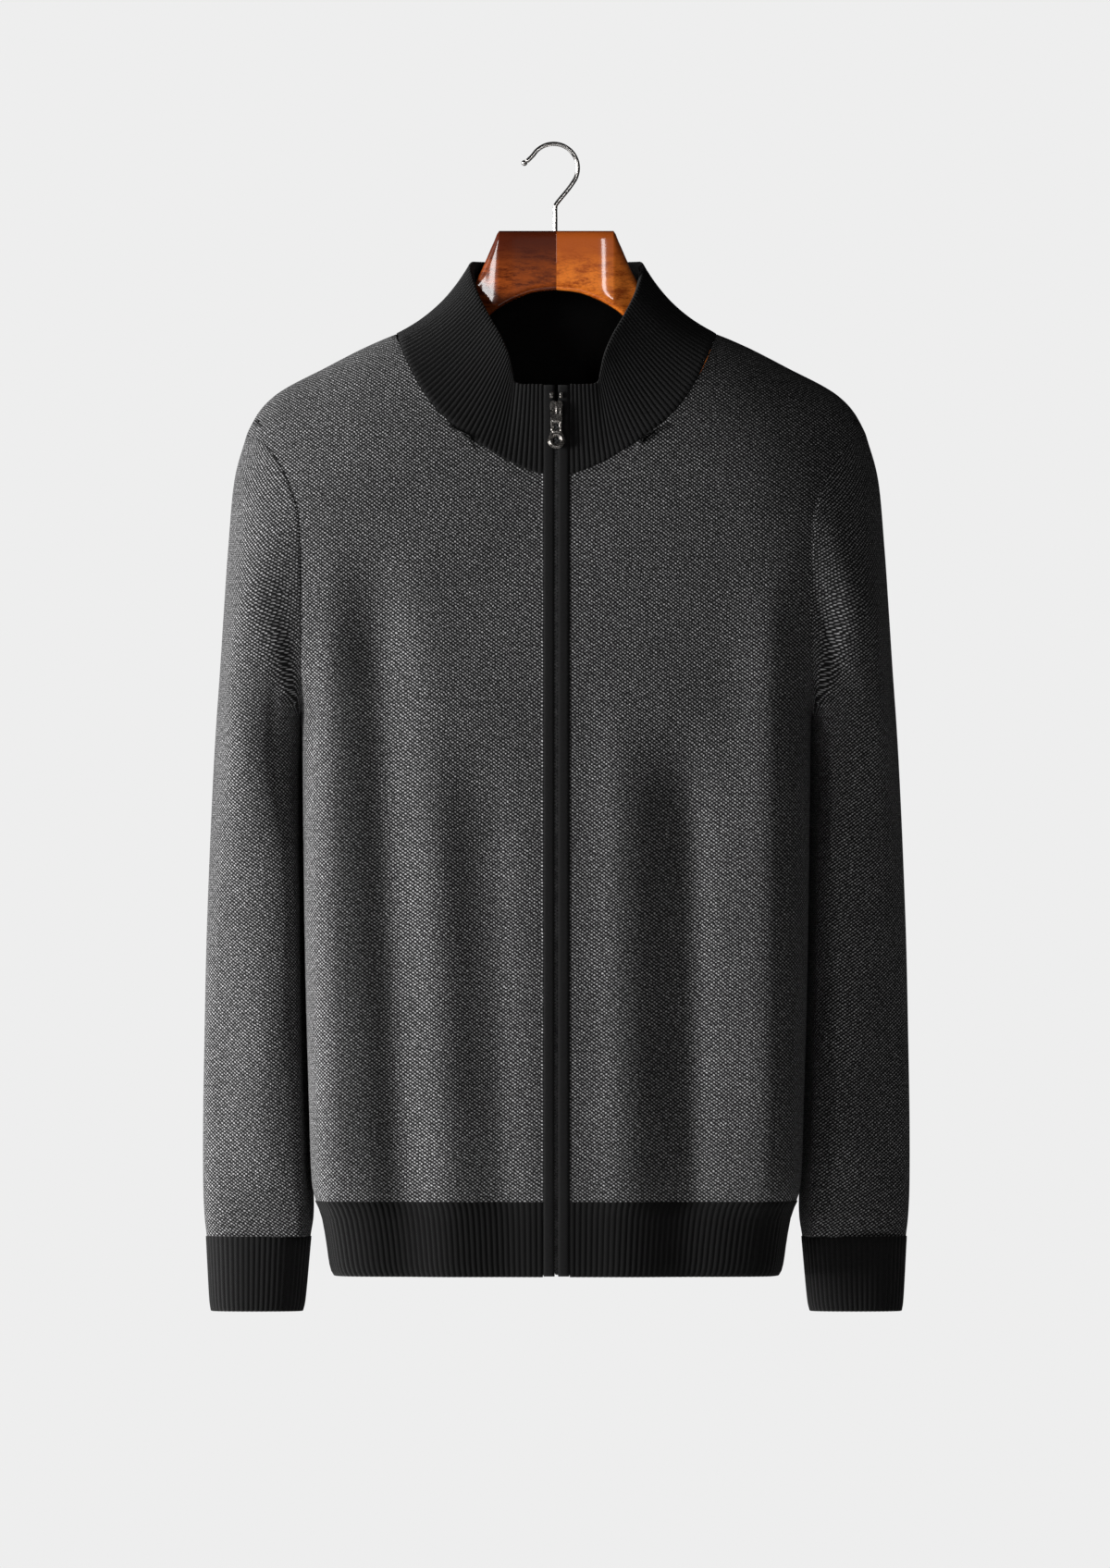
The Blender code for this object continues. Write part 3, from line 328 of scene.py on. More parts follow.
def smooth(keys, values):
    """A smooth curve through a table's rows that never overshoots them."""
    steps = np.diff(keys)
    slopes = np.diff(values) / steps
    lean = np.concatenate([slopes[:1], np.zeros(len(slopes) - 1), slopes[-1:]])
    same_way = slopes[:-1] * slopes[1:] > 0
    mean = 2 * slopes[:-1] * slopes[1:] / np.where(same_way, slopes[:-1] + slopes[1:], 1)
    lean[1:-1] = np.where(same_way, mean, 0)

    def at(key):
        key = np.clip(key, keys[0], keys[-1])
        row = np.clip(np.searchsorted(keys, key, side="right") - 1, 0, len(steps) - 1)
        t = (key - keys[row]) / steps[row]
        ends = values[row] * (1 + 2 * t) * (1 - t) ** 2 + values[row + 1] * t * t * (3 - 2 * t)
        bends = lean[row] * t * (1 - t) ** 2 - lean[row + 1] * t * t * (1 - t)
        return ends + steps[row] * bends

    return at


def smoothstep(value, low, high):
    t = np.clip((value - low) / (high - low), 0, 1)
    return t * t * (3 - 2 * t)


half_width_at = smooth(TORSO["z"], TORSO["half_width"])
depth_at = {face: smooth(TORSO["z"], TORSO[face]) for face in FACING}
corner_at = {face: smooth(TORSO["z"], TORSO[face + "_corner"]) for face in FACING}
shoulder_at = smooth(SHOULDER["x"], SHOULDER["z"])
front_neck_at = smooth(NECKLINE["x"], NECKLINE["z"])
armhole_at = smooth(ARMHOLE["z"], ARMHOLE["x"])


def panel_top(x, face):
    """The height where the panel ends: its neckline, then its shoulder seam."""
    back_neck = BACK_NECK_Z + (NECK_Z - BACK_NECK_Z) * (x / NECK_X) ** 2
    neck = front_neck_at(x) if face == "front" else back_neck
    return np.where(x < NECK_X, neck, shoulder_at(x))


def across(z, u, start_x):
    """The distance from the middle, u from 0 at start_x to 1 at the side seam or armhole."""
    width = half_width_at(z)
    first = np.arcsin(start_x / width)
    last = np.arcsin(np.clip(armhole_at(z) / width, 0, 1))
    last = np.where(z <= UNDERARM_Z, math.pi / 2, last)
    return width * np.sin(first + (last - first) * u)


def fold_rise(x, z, folds):
    """How far the cloth stands out at a point, added up over the folds near it."""
    rise = np.zeros_like(x)
    for top_x, top_z, low_x, low_z, width, height in zip(*folds.values()):
        along = (z - top_z) / (low_z - top_z)
        centre = top_x + (low_x - top_x) * along
        shape = np.exp(-(((x - centre) / width) ** 2))
        rise += height * shape * smoothstep(-z, -top_z - FOLD_START, -top_z + FOLD_FADE)
    middle = smoothstep(np.abs(x), *FOLD_CLEAR_X)
    side = 1 - smoothstep(np.abs(x) / half_width_at(z), *FOLD_SIDE)
    held = 1 - (1 - RIB_HOLD) * smoothstep(-z, *RIB_HOLD_DROP)
    return rise * middle * side * held


def unit(vectors):
    return vectors / np.maximum(norm(vectors, axis=-1, keepdims=True), 1e-12)


def normals_of(points):
    """Unit normals of a sheet of points, from the run of its rows and columns."""
    along_rows = np.gradient(points, axis=1)
    along_columns = np.gradient(points, axis=0)
    return unit(np.cross(along_rows, along_columns))


def flatten(normals, axis):
    """The normals turned square to an axis, so that the wall ends in a plane."""
    normals[..., axis] = 0
    normals[:] = unit(normals)


def shoulder_fall(x, z):
    """The share of its full depth that the body has at a place, rounded off to the shoulder."""
    fall = np.clip((shoulder_at(x) - z) / SHOULDER_FALL, 0, 1)
    return (1 - (1 - fall) ** SHOULDER_POWER) ** (1 / SHOULDER_POWER)


def body_depth(face, x, z):
    """How far the body's smooth surface lies in front of or behind its middle plane."""
    fill = (1 - np.clip(x / half_width_at(z), 0, 1) ** corner_at[face](z)) ** (1 / corner_at[face](z))
    return depth_at[face](z) * fill * shoulder_fall(x, z)


def torso_sheet(face, side, columns, z):
    """Points and outward normals of the body's cloth. z has a row for each level."""
    x = across(z, columns[None, :], START_X[face])
    facing = FACING[face]
    y = facing * body_depth(face, x, z)
    points = np.stack([side * x, y, z], axis=2)
    outward = -side * facing * np.sign(z[-1, 0] - z[0, 0])
    folds = FRONT_FOLDS if face == "front" else BACK_FOLDS
    level_normals = normals_of(points) * outward
    flatten(level_normals, 2)
    points = points + level_normals * fold_rise(points[..., 0], z, folds)[..., None]
    return points, normals_of(points) * outward


def column_tops(face, columns):
    """The height where each column of a panel meets its neckline or shoulder, by halving."""
    low = np.full(len(columns), UNDERARM_Z)
    high = np.full(len(columns), shoulder_at(0.0))
    for _ in range(40):
        middle = (low + high) / 2
        inside = middle < panel_top(across(middle, columns, START_X[face]), face)
        low = np.where(inside, middle, low)
        high = np.where(inside, high, middle)
    return low


def panel_columns(face, count_neck, count_shoulder):
    """Columns with one at the neck point, closer together towards the side."""
    width = half_width_at(NECK_Z)
    first = math.asin(START_X[face] / width)
    last = math.asin(min(1.0, float(armhole_at(NECK_Z) / width)))
    neck = (math.asin(NECK_X / width) - first) / (last - first)
    return np.r_[np.linspace(0, neck, count_neck + 1), np.linspace(neck, 1, count_shoulder + 1)[1:]]


def panel_levels(face, columns):
    """A height for each row and column, with a row level with the underarm."""
    tops = column_tops(face, columns)
    low = np.linspace(HEM_SEAM_Z, UNDERARM_Z, LOW_ROWS + 1)
    low = np.repeat(low[:, None], len(columns), axis=1)
    share = 1 - (1 - np.arange(1, HIGH_ROWS + 1) / HIGH_ROWS) ** ROW_EASE
    high = UNDERARM_Z + (tops - UNDERARM_Z)[None, :] * share[:, None]
    return np.concatenate([low, high])


def panel_sheet(face, side):
    """One half of the front or back, with its edges square to their seams."""
    columns = panel_columns(face, NECK_COLUMNS, SHOULDER_COLUMNS)
    points, normals = torso_sheet(face, side, columns, panel_levels(face, columns))
    flatten(normals[0], 2)
    flatten(normals[: LOW_ROWS + 1, -1], 1)
    flatten(normals[-1, NECK_COLUMNS:], 1)
    flatten(normals[:, 0], 0)
    seam_y = FACING[face] * SEAM_GAP / 2
    points[: LOW_ROWS + 1, -1, 1] = seam_y
    points[-1, NECK_COLUMNS:, 1] = seam_y
    return points, normals


def even_columns(length, pitch):
    """Two columns a rib along an edge, a whole number of inner spans."""
    return RIB_STEP * round(2 * length / pitch / RIB_STEP)


def values_along(share, run, rows):
    """Points or normals at each share of a run along some rows."""
    return np.stack([np.interp(share, run, rows[:, k]) for k in range(3)], axis=1)


def respaced(row, count):
    """Points spread evenly along a line of points, with the share of the line each is at."""
    lengths = norm(np.diff(row, axis=0), axis=1)
    run = np.concatenate([[0], np.cumsum(lengths)])
    share = np.linspace(0, run[-1], count + 1)
    return values_along(share, run, row), share, run


def hem_sheet(sheets, face, side):
    """The ribbed hem under one half of a panel, its top edge on the panel's own."""
    columns = np.linspace(0, 1, FINE_COLUMNS + 1)
    z = np.repeat(HEM_ROWS[:, None], len(columns), axis=1)
    points, normals = torso_sheet(face, side, columns, z)
    girth = norm(np.diff(points[1], axis=0), axis=1).sum()
    count = even_columns(girth, HEM_RIB) // 2 * RIB_COLUMNS
    _, share, run = respaced(points[1], count)
    even = np.interp(share, run, columns)
    z = np.repeat(HEM_ROWS[:, None], len(even), axis=1)
    points, normals = torso_sheet(face, side, even, z)
    seam, seam_normals = (sheet[0] for sheet in sheets[face, side])
    top, share, run = respaced(seam, count)
    points[0, :, :2] = top[:, :2]
    normals[0] = values_along(share, run, seam_normals)
    flatten(normals[0], 2)
    flatten(normals[-1], 2)
    flatten(normals[:, -1], 1)
    flatten(normals[:, 0], 0)
    points[:, -1, 1] = FACING[face] * SEAM_GAP / 2
    return points, normals


def armhole_loop(sheets, side):
    """The seam round the armhole, from the shoulder down the front and up the back."""
    front = sheets["front", side][0][LOW_ROWS:, -1]
    back = sheets["back", side][0][LOW_ROWS:, -1]
    loop = np.concatenate([front[::-1], back[1:]])
    loop[[0, -1], 1] = 0
    return loop


def power_wave(value, power):
    return np.sign(value) * np.abs(value) ** (2 / power)


def through(rows, steps):
    """Rows of points on smooth curves through the given rows, steps to each span."""
    padded = np.concatenate([2 * rows[:1] - rows[1:2], rows, 2 * rows[-1:] - rows[-2:-1]])
    found = []
    for before, first, second, after in zip(padded, padded[1:], padded[2:], padded[3:]):
        for t in np.arange(steps) / steps:
            bend = (3 * first - before - 3 * second + after) * t
            curve = (2 * before - 5 * first + 4 * second - after + bend) * t
            found.append(first + (second - before + curve) * t / 2)
    return np.array([*found, rows[-1]])


def sleeve_sheet(sheets, side):
    """Rings from the armhole to the cuff, each leaning less on the armhole's shape."""
    loop = armhole_loop(sheets, side)
    half = len(loop) // 2
    down, up = (respaced(part, 1)[2] for part in (loop[: half + 1], loop[half:]))
    turn = np.r_[down / down[-1], 1 + (up / up[-1])[1:]] * math.pi
    top, under = loop[0], loop[half]
    seam_axis = top - under
    seam_axis[1] = 0
    seam_length = norm(seam_axis)
    seam_axis = seam_axis / seam_length
    seam_across = np.array([seam_axis[2], 0, -seam_axis[0]])
    local = loop - (top + under) / 2
    along, sideways, deep = local @ seam_axis, local @ seam_across, loop[:, 1]
    rings = [loop]
    for inner_x, inner_z, outer_x, outer_z, half_depth, centre_y, own in zip(*SLEEVE.values()):
        inner = np.array([side * inner_x, 0, inner_z])
        outer = np.array([side * outer_x, 0, outer_z])
        axis = outer - inner
        length = norm(axis)
        axis = axis / length
        sideways_axis = np.array([axis[2], 0, -axis[0]])
        middle = (inner + outer) / 2
        lean = SLEEVE_LEAN * np.sin(turn) ** 4 * smoothstep(-inner_z, *SLEEVE_LEAN_DROP)
        reach = power_wave(np.cos(turn), SLEEVE_POWER) + lean
        own_ring = middle + (length / 2) * reach[:, None] * axis
        own_ring[:, 1] = centre_y - half_depth * power_wave(np.sin(turn), SLEEVE_POWER)
        like_seam = middle + (along * length / seam_length)[:, None] * axis
        like_seam += (sideways * (1 - own))[:, None] * sideways_axis
        like_seam[:, 1] = centre_y + deep * half_depth / np.abs(deep).max()
        rings.append(like_seam * (1 - own) + own_ring * own)
    rings = through(np.array(rings), RING_STEPS)
    rings[0] += unit(rings[1] - rings[0]) * SLEEVE_GAP
    rings[-1, :, 2] = SLEEVE["outer_z"][-1]
    normals = ring_normals(rings, side)
    share_turn = turn / (2 * math.pi)
    rings += normals * sleeve_rise(share_turn, rings[..., 2])[..., None]
    return rings, ring_normals(rings, side)


def sleeve_rise(turn, z):
    rise = np.zeros_like(z)
    for place, top_z, low_z, width, height in zip(*SLEEVE_FOLDS.values()):
        away = np.abs((turn - place + 0.5) % 1 - 0.5)
        window = smoothstep(-z, -top_z, -top_z + SLEEVE_FADE) * (
            1 - smoothstep(-z, -low_z - SLEEVE_FADE, -low_z)
        )
        rise += height * np.exp(-((away / width) ** 2))[None, :] * window
    return rise


def ring_normals(rings, side):
    """Outward normals of a tube whose first and last columns are the same."""
    wrapped = np.concatenate([rings[:, -2:-1], rings, rings[:, 1:2]], axis=1)
    return normals_of(wrapped)[:, 1:-1] * side


def cuff_sheet(side):
    """The cuff's rings, with two columns to a rib."""
    girth = 2 * math.pi * math.sqrt((CUFF_REACH[0] ** 2 + CUFF_REACH[1] ** 2) / 2)
    count = even_columns(girth, CUFF_RIB) // 2 * RIB_COLUMNS
    turn = np.linspace(0, 2 * math.pi, FINE_COLUMNS + 1)
    for _ in range(2):
        rings = []
        for z, inner_x, outer_x, half_depth, centre_y in through(np.array(list(CUFF.values())).T, 6):
            middle, reach = (inner_x + outer_x) / 2, (outer_x - inner_x) / 2
            x = side * (middle + reach * power_wave(np.cos(turn), SLEEVE_POWER))
            y = centre_y - half_depth * power_wave(np.sin(turn), SLEEVE_POWER)
            rings.append(np.stack([x, y, np.full_like(x, z)], axis=1))
        _, even, run = respaced(rings[1], count)
        turn = np.interp(even, run, turn) if len(turn) > count + 1 else turn
    rings = np.array(rings)
    normals = ring_normals(rings, side)
    flatten(normals[0], 2)
    flatten(normals[-1], 2)
    return rings, normals


def neck_seam(sheets):
    """The neckline from the right of the zip round the back to the left of it, with normals."""
    rows = []
    for k in range(2):
        front = {side: sheets["front", side][k][-1, : NECK_COLUMNS + 1] for side in (-1, 1)}
        back = {side: sheets["back", side][k][-1, : NECK_COLUMNS + 1] for side in (-1, 1)}
        rows.append(np.concatenate([front[1], back[1][-2::-1], back[-1][1:], front[-1][-2::-1]]))
    return rows


def collar_top_line(count):
    """The top edge all round, from the right of the zip to the left of it."""
    right = np.stack([COLLAR_TOP["x"], COLLAR_TOP["y"], COLLAR_TOP["z"]], axis=1)
    run = np.concatenate([[0], np.cumsum(norm(np.diff(right, axis=0), axis=1))])
    fine = np.linspace(0, run[-1], 200)
    half = np.stack([smooth(run, right[:, k])(fine) for k in range(3)], axis=1)
    whole = np.concatenate([half, half[-2::-1] * (-1, 1, 1)])
    return respaced(whole, count)[0]


def arc(centre_x, centre_z, radius_x, radius_z, start, end, count):
    """Points on an oval arc, angles in degrees from +X towards +Z."""
    angles = np.radians(np.linspace(start, end, count))
    return [(centre_x + radius_x * math.cos(a), centre_z + radius_z * math.sin(a)) for a in angles]


def part_of_line(line, top, bottom):
    """The stretch of the front line between two heights, with a point at each."""
    inside = line[(line[:, 1] < top - LINE_STEP) & (line[:, 1] > bottom + LINE_STEP)]
    y_at = line[::-1, 0]
    z_at = line[::-1, 1]
    ends = [(np.interp(z, z_at, y_at), z) for z in (top, bottom)]
    return np.array([ends[0], *inside, ends[1]])


def line_y(line, z):
    return float(np.interp(z, line[::-1, 1], line[::-1, 0]))


def collar_sheet(sheets):
    """The collar from its seam to its top edge, bowed in between."""
    seam, seam_normals = neck_seam(sheets)
    length = norm(np.diff(seam, axis=0), axis=1).sum()
    count = even_columns(length, COLLAR_RIB) // 2 * RIB_COLUMNS
    low, share, run = respaced(seam, count)
    high = collar_top_line(count)
    part = share / run[-1]
    sideness = np.exp(-(((0.5 - np.abs(part - 0.5)) - COLLAR_BOW[0]) / COLLAR_BOW[1]) ** 2)
    middle = (low + high) / 2
    out = unit(middle * (1, 1, 0))
    sag = 2 * COLLAR_SAG * (COLLAR_BOW[2] + (1 - COLLAR_BOW[2]) * sideness)
    bend = middle - (out + (0, 0, COLLAR_BOW[3])) * sag[:, None]
    points = np.array([low * (1 - v) ** 2 + bend * 2 * v * (1 - v) + high * v**2 for v in COLLAR_ROWS])
    points[0] += unit(points[1] - points[0]) * COLLAR_GAP
    normals = normals_of(points)
    normals[0] = unit(values_along(share, run, seam_normals))
    flatten(normals[:, 0], 0)
    flatten(normals[:, -1], 0)
    return points, normals


# Meshes


def run_along(points, axis):
    """The length along a sheet's rows or columns up to each point."""
    steps = norm(np.diff(points, axis=axis), axis=2)
    start = np.zeros_like(np.take(steps, [0], axis=axis))
    return np.cumsum(np.concatenate([start, steps], axis=axis), axis=axis)


def joined_columns(rows, columns):
    """Vertex numbers of a grid whose last column is the first, and the vertices to keep."""
    numbers = np.arange(rows * (columns - 1)).reshape(rows, columns - 1)
    kept = np.arange(rows * columns).reshape(rows, columns)[:, :-1].ravel()
    return np.concatenate([numbers, numbers[:, :1]], axis=1).ravel(), kept


def mesh_piece(name, vertices, faces, cloth=None, flat_faces=0, joins=None):
    """A smooth-shaded mesh. cloth is the place on the cloth of each of the faces' points, in metres."""
    mesh = bpy.data.meshes.new(name)
    if joins is None:
        mesh.from_pydata(vertices.tolist(), [], faces)
    else:
        numbers, kept = joins
        mesh.from_pydata(vertices[kept].tolist(), [], [[numbers[k] for k in face] for face in faces])
    smooth_faces = np.ones(len(faces), bool)
    smooth_faces[len(faces) - flat_faces :] = False
    mesh.polygons.foreach_set("use_smooth", smooth_faces)
    if cloth is not None:
        corners = np.fromiter((k for face in faces for k in face), int)
        layer = mesh.uv_layers.new(name="cloth")
        layer.data.foreach_set("uv", cloth[corners].astype(np.float32).ravel())
    mesh.update()
    obj = bpy.data.objects.new(name, mesh)
    bpy.context.scene.collection.objects.link(obj)
    return obj


def rim_rows(first, last, away, bulge, count):
    """Rows that turn round an edge of a wall, from its one side to the other."""
    middle, half = (first + last) / 2, (first - last) / 2
    reach = norm(half, axis=1, keepdims=True) * bulge
    angles = np.arange(1, count + 1) * math.pi / (count + 1)
    return [middle + half * math.cos(a) + away * reach * math.sin(a) for a in angles]


def wall_piece(name, points, normals, wall, cloth, closed=False, bulges=KNIT_BULGES, rise=0):
    """A closed wall of cloth with rounded edges. rise stands on the outer side only.

    The inner side's faces take the piece's second material.
    """
    outer = points + normals * rise
    inner = points - normals * wall
    top_away, low_away = unit(points[-1] - points[-2]), unit(points[0] - points[1])
    rows = [*outer, *rim_rows(outer[-1], inner[-1], top_away, bulges[1], RIM)]
    rows += [*inner[::-1], *rim_rows(inner[0], outer[0], low_away, bulges[0], RIM)]
    rows = np.array(rows)
    count = len(points)
    uv = [*cloth, *[cloth[-1]] * RIM, *cloth[::-1], *[cloth[0]] * RIM]
    total, across_count = rows.shape[:2]
    index = np.arange(total * across_count).reshape(total, across_count)
    nxt = np.roll(index, -1, axis=0)
    faces = np.stack([index[:, :-1], index[:, 1:], nxt[:, 1:], nxt[:, :-1]], axis=-1)
    turned = np.cross(rows[0, 1] - rows[0, 0], rows[1, 1] - rows[0, 0]) @ normals[0, 0] < 0
    faces = faces.reshape(-1, 4)[:, :: -1 if turned else 1].tolist()
    ends = 0
    if not closed:
        last = 2 * count + RIM - 1
        caps = [(r, r + 1, last - r - 1, last - r) for r in range(count - 1)]
        caps += [range(count - 1, count + RIM + 1), (*range(last, total), 0)]
        for column, flip in ((0, not turned), (across_count - 1, turned)):
            found = [[index[r, column] for r in cap] for cap in caps]
            faces += [cap[::-1] if flip else cap for cap in found]
            ends += len(caps)
    joins = joined_columns(total, across_count) if closed else None
    piece = mesh_piece(name, rows.reshape(-1, 3), faces, np.array(uv).reshape(-1, 2), ends, joins)
    inside = np.zeros(len(faces), np.int32)
    inside[(count + RIM) * (across_count - 1) : (2 * count + RIM) * (across_count - 1)] = 1
    piece.data.polygons.foreach_set("material_index", inside)
    return piece


# Half the width and the depth of the plain section that the knit is measured on
KNIT_CHEST = (0.245, 0.08)


def knit_places(face, side, points):
    """Each point's width along the cloth from the middle and length along it from the hem."""
    x, z = np.abs(points[..., 0])[..., None], points[..., 2][..., None]
    share = np.sin(np.linspace(0, math.pi / 2, 60))
    level_x = x * share
    level = np.stack([level_x, body_depth(face, level_x, z + 0 * level_x)], axis=-1)
    width = norm(np.diff(level, axis=-2), axis=-1).sum(axis=-1)
    level_z = HEM_SEAM_Z + (z - HEM_SEAM_Z) * share
    chest = KNIT_CHEST[1] * (1 - np.clip(x / KNIT_CHEST[0], 0, 1) ** 3) ** (1 / 3)
    upright = np.stack([level_z, chest * shoulder_fall(x, level_z)], axis=-1)
    length = norm(np.diff(upright, axis=-2), axis=-1).sum(axis=-1)
    return np.stack([side * width, length], axis=-1)


def rib_rise(columns, rows):
    """Rounded ribs with narrow grooves."""
    wave = np.abs(np.sin(np.arange(columns) * math.pi / RIB_COLUMNS))
    return RIB_RISE * np.repeat(wave[None, :, None], rows, axis=0)


def tube_faces(rows, sides):
    """Faces between rings of points, and one on each end."""
    index = np.arange(rows * sides).reshape(rows, sides)
    nxt = np.roll(index, -1, axis=1)
    faces = np.stack([index[:-1], nxt[:-1], nxt[1:], index[1:]], axis=-1).reshape(-1, 4).tolist()
    return faces + [index[0, ::-1].tolist(), index[-1].tolist()]


def tube_piece(name, route, radii, sides):
    """A round bar along a route of points, with a radius at each."""
    route, radii = np.array(route, float), np.array(radii, float)
    along = unit(np.gradient(route, axis=0))
    first = unit(np.cross(along, (0.013, 1.0, 0.017)))
    second = np.cross(along, first)
    turn = np.linspace(0, 2 * math.pi, sides, endpoint=False)
    ring = first[:, None] * np.cos(turn)[None, :, None] + second[:, None] * np.sin(turn)[None, :, None]
    rows = route[:, None] + ring * radii[:, None, None]
    return mesh_piece(name, rows.reshape(-1, 3), tube_faces(len(route), sides), flat_faces=2)


# Materials


def graph(name):
    """A new material, its node tree and its Principled shader."""
    material = bpy.data.materials.new(name)
    material.use_nodes = True
    return material, material.node_tree, material.node_tree.nodes["Principled BSDF"]


def add(tree, kind, *values, out=0, **settings):
    """A node with its first inputs linked to sockets or set to values. Returns one of its outputs."""
    made = tree.nodes.new("ShaderNode" + kind)
    for key, value in settings.items():
        setattr(made, key, value)
    for place, value in enumerate(values):
        if isinstance(value, bpy.types.NodeSocket):
            tree.links.new(value, made.inputs[place])
        elif value is not None:
            made.inputs[place].default_value = value
    return made.outputs[out]


def calc(tree, operation, *values):
    return add(tree, "Math", *values, operation=operation)


def product(tree, *values):
    return calc(tree, "MULTIPLY", *values)


def weighed(tree, first, second, share):
    """A share of the first and the rest of the second."""
    return calc(tree, "ADD", product(tree, first, share), product(tree, second, 1 - share))


def wave(tree, distance, length):
    """A sine of a distance, with a whole turn to each length."""
    return calc(tree, "SINE", product(tree, distance, 2 * math.pi / length))


def axes(tree, place):
    return add(tree, "SeparateXYZ", place, out=slice(3))


def ramp(tree, value, low, high, start=0.0, end=1.0):
    return add(tree, "MapRange", value, low, high, start, end, interpolation_type="SMOOTHSTEP")


def blend_colour(tree, share, first, second):
    made = tree.nodes.new("ShaderNodeMix")
    made.data_type = "RGBA"
    tree.links.new(share, made.inputs["Factor"])
    for key, colour in (("A", first), ("B", second)):
        socket = next(i for i in made.inputs if i.name == key and i.type == "RGBA")
        if isinstance(colour, bpy.types.NodeSocket):
            tree.links.new(colour, socket)
        else:
            socket.default_value = (*colour, 1)
    return next(o for o in made.outputs if o.type == "RGBA")


def noise(tree, place, scale, detail=2.0, roughness=0.5):
    return add(tree, "TexNoise", place, None, scale, detail, roughness)


def bump(tree, shader, height, distance, strength):
    made = tree.nodes.new("ShaderNodeBump")
    made.inputs["Distance"].default_value = distance
    made.inputs["Strength"].default_value = strength
    tree.links.new(height, made.inputs["Height"])
    tree.links.new(made.outputs["Normal"], shader.inputs["Normal"])


def colour(tree, shader, share, first, second):
    tree.links.new(blend_colour(tree, share, first, second), shader.inputs["Base Color"])


def settings(shader, **values):
    for name, value in values.items():
        shader.inputs[name.replace("_", " ")].default_value = value


# The knit's pitch across and along the cloth, each with the scales of its slow and quick drift
KNIT_ROWS = ((0.0035, 45, 260), (0.0026, 38, 310))
KNIT_SWAY = 0.0024
KNIT_JITTER = 0.0014
KNIT_LEAN = 0.16
KNIT_DARK = (0.0035, 0.0035, 0.0037)
KNIT_LIGHT = (0.460, 0.455, 0.460)


def knit_material():
    """Light dots in staggered rows on black, leaning a little, uneven as knitting is."""
    material, tree, shader = graph("two_tone_knit")
    place = add(tree, "UVMap", uv_map="cloth")
    turns = []
    for distance, (width, sway, jitter) in zip(axes(tree, place), KNIT_ROWS):
        slow = product(tree, noise(tree, place, sway, 2), KNIT_SWAY)
        quick = product(tree, noise(tree, place, jitter, 1), KNIT_JITTER)
        moved = calc(tree, "ADD", distance, calc(tree, "ADD", slow, quick))
        turns.append(product(tree, moved, 2 * math.pi / width))
    dots, lean = (product(tree, *(calc(tree, kind, t) for t in turns)) for kind in ("COSINE", "SINE"))
    weave = calc(tree, "SUBTRACT", dots, product(tree, lean, KNIT_LEAN))
    fleck = calc(tree, "SUBTRACT", noise(tree, place, 620, 2, 0.6), 0.5)
    weave = calc(tree, "ADD", weave, product(tree, fleck, 1.1))
    stitch = ramp(tree, noise(tree, place, 340, 2, 0.7), 0.34, 0.66, 0.30, 1.0)
    patch = ramp(tree, noise(tree, place, 16, 3), 0.3, 0.7, 0.80, 1.0)
    light = product(tree, ramp(tree, weave, 0.02, 0.80), product(tree, stitch, patch))
    colour(tree, shader, light, KNIT_DARK, KNIT_LIGHT)
    bump(tree, shader, weave, 0.00040, 0.7)
    settings(shader, Roughness=0.92, Specular_IOR_Level=0.15, Sheen_Weight=0.06, Sheen_Roughness=0.6)
    return material


RIB_STITCH = (0.0014, 0.0017)
TAPE_YARN = 0.0010


def rib_material(name, light, dark):
    """Black rib knitting: fine stitches in rows, matt, with a faint fuzz."""
    material, tree, shader = graph(name)
    place = add(tree, "UVMap", uv_map="cloth")
    across, along, _ = axes(tree, place)
    stitch = product(tree, wave(tree, along, RIB_STITCH[1]), wave(tree, across, RIB_STITCH[0]))
    fuzz = calc(tree, "SUBTRACT", noise(tree, place, 700, 2, 0.6), 0.5)
    stitch = calc(tree, "ADD", stitch, product(tree, fuzz, 2.0))
    colour(tree, shader, ramp(tree, stitch, -1.0, 1.2), dark, light)
    bump(tree, shader, stitch, 0.00018, 0.7)
    settings(shader, Roughness=0.95, Specular_IOR_Level=0.12, Sheen_Weight=0.08, Sheen_Roughness=0.5)
    return material


def tape_material():
    """Black woven tape: warp and weft cross in small squares."""
    material, tree, shader = graph("woven_tape")
    place = add(tree, "TexCoord", out=3)
    x, _, z = axes(tree, place)
    cross = product(tree, wave(tree, x, TAPE_YARN), wave(tree, z, TAPE_YARN))
    colour(tree, shader, ramp(tree, cross, -1, 1), (0.003,) * 3, (0.010,) * 3)
    bump(tree, shader, cross, 0.0001, 0.6)
    settings(shader, Roughness=0.85, Specular_IOR_Level=0.2)
    return material


def metal_material(name, base, worn, roughness, scale):
    """Plated metal: brushed streaks, small scuffs and a worn tone."""
    material, tree, shader = graph(name)
    place = add(tree, "TexCoord", out=3)
    fine = noise(tree, place, scale, 4, 0.65)
    patches = noise(tree, place, scale / 6, 2)
    colour(tree, shader, ramp(tree, weighed(tree, fine, patches, 0.5), 0.35, 0.65), base, worn)
    tree.links.new(ramp(tree, fine, 0.3, 0.7, roughness * 0.7, roughness * 1.4), shader.inputs["Roughness"])
    bump(tree, shader, fine, 0.00004, 0.5)
    settings(shader, Metallic=1.0)
    return material


# Grain angle and stretch, dark and light tone, and the darker tone at the top that is painted shade, for the
# right and left half
WOOD_GRAIN = ((-0.25, 3.0), (0.75, 4.5))
WOOD_TONES = (
    ((0.300, 0.050, 0.0050), (0.800, 0.210, 0.0240)),
    ((0.075, 0.011, 0.0016), (0.300, 0.058, 0.0060)),
)
WOOD_TOP_PAINTED_SHADE = ((0.420, 0.085, 0.010), (0.070, 0.010, 0.002))
# Heights over which the painted shade darkens the wood towards its top
WOOD_PAINTED_SHADE_Z = (-0.100, -0.070)


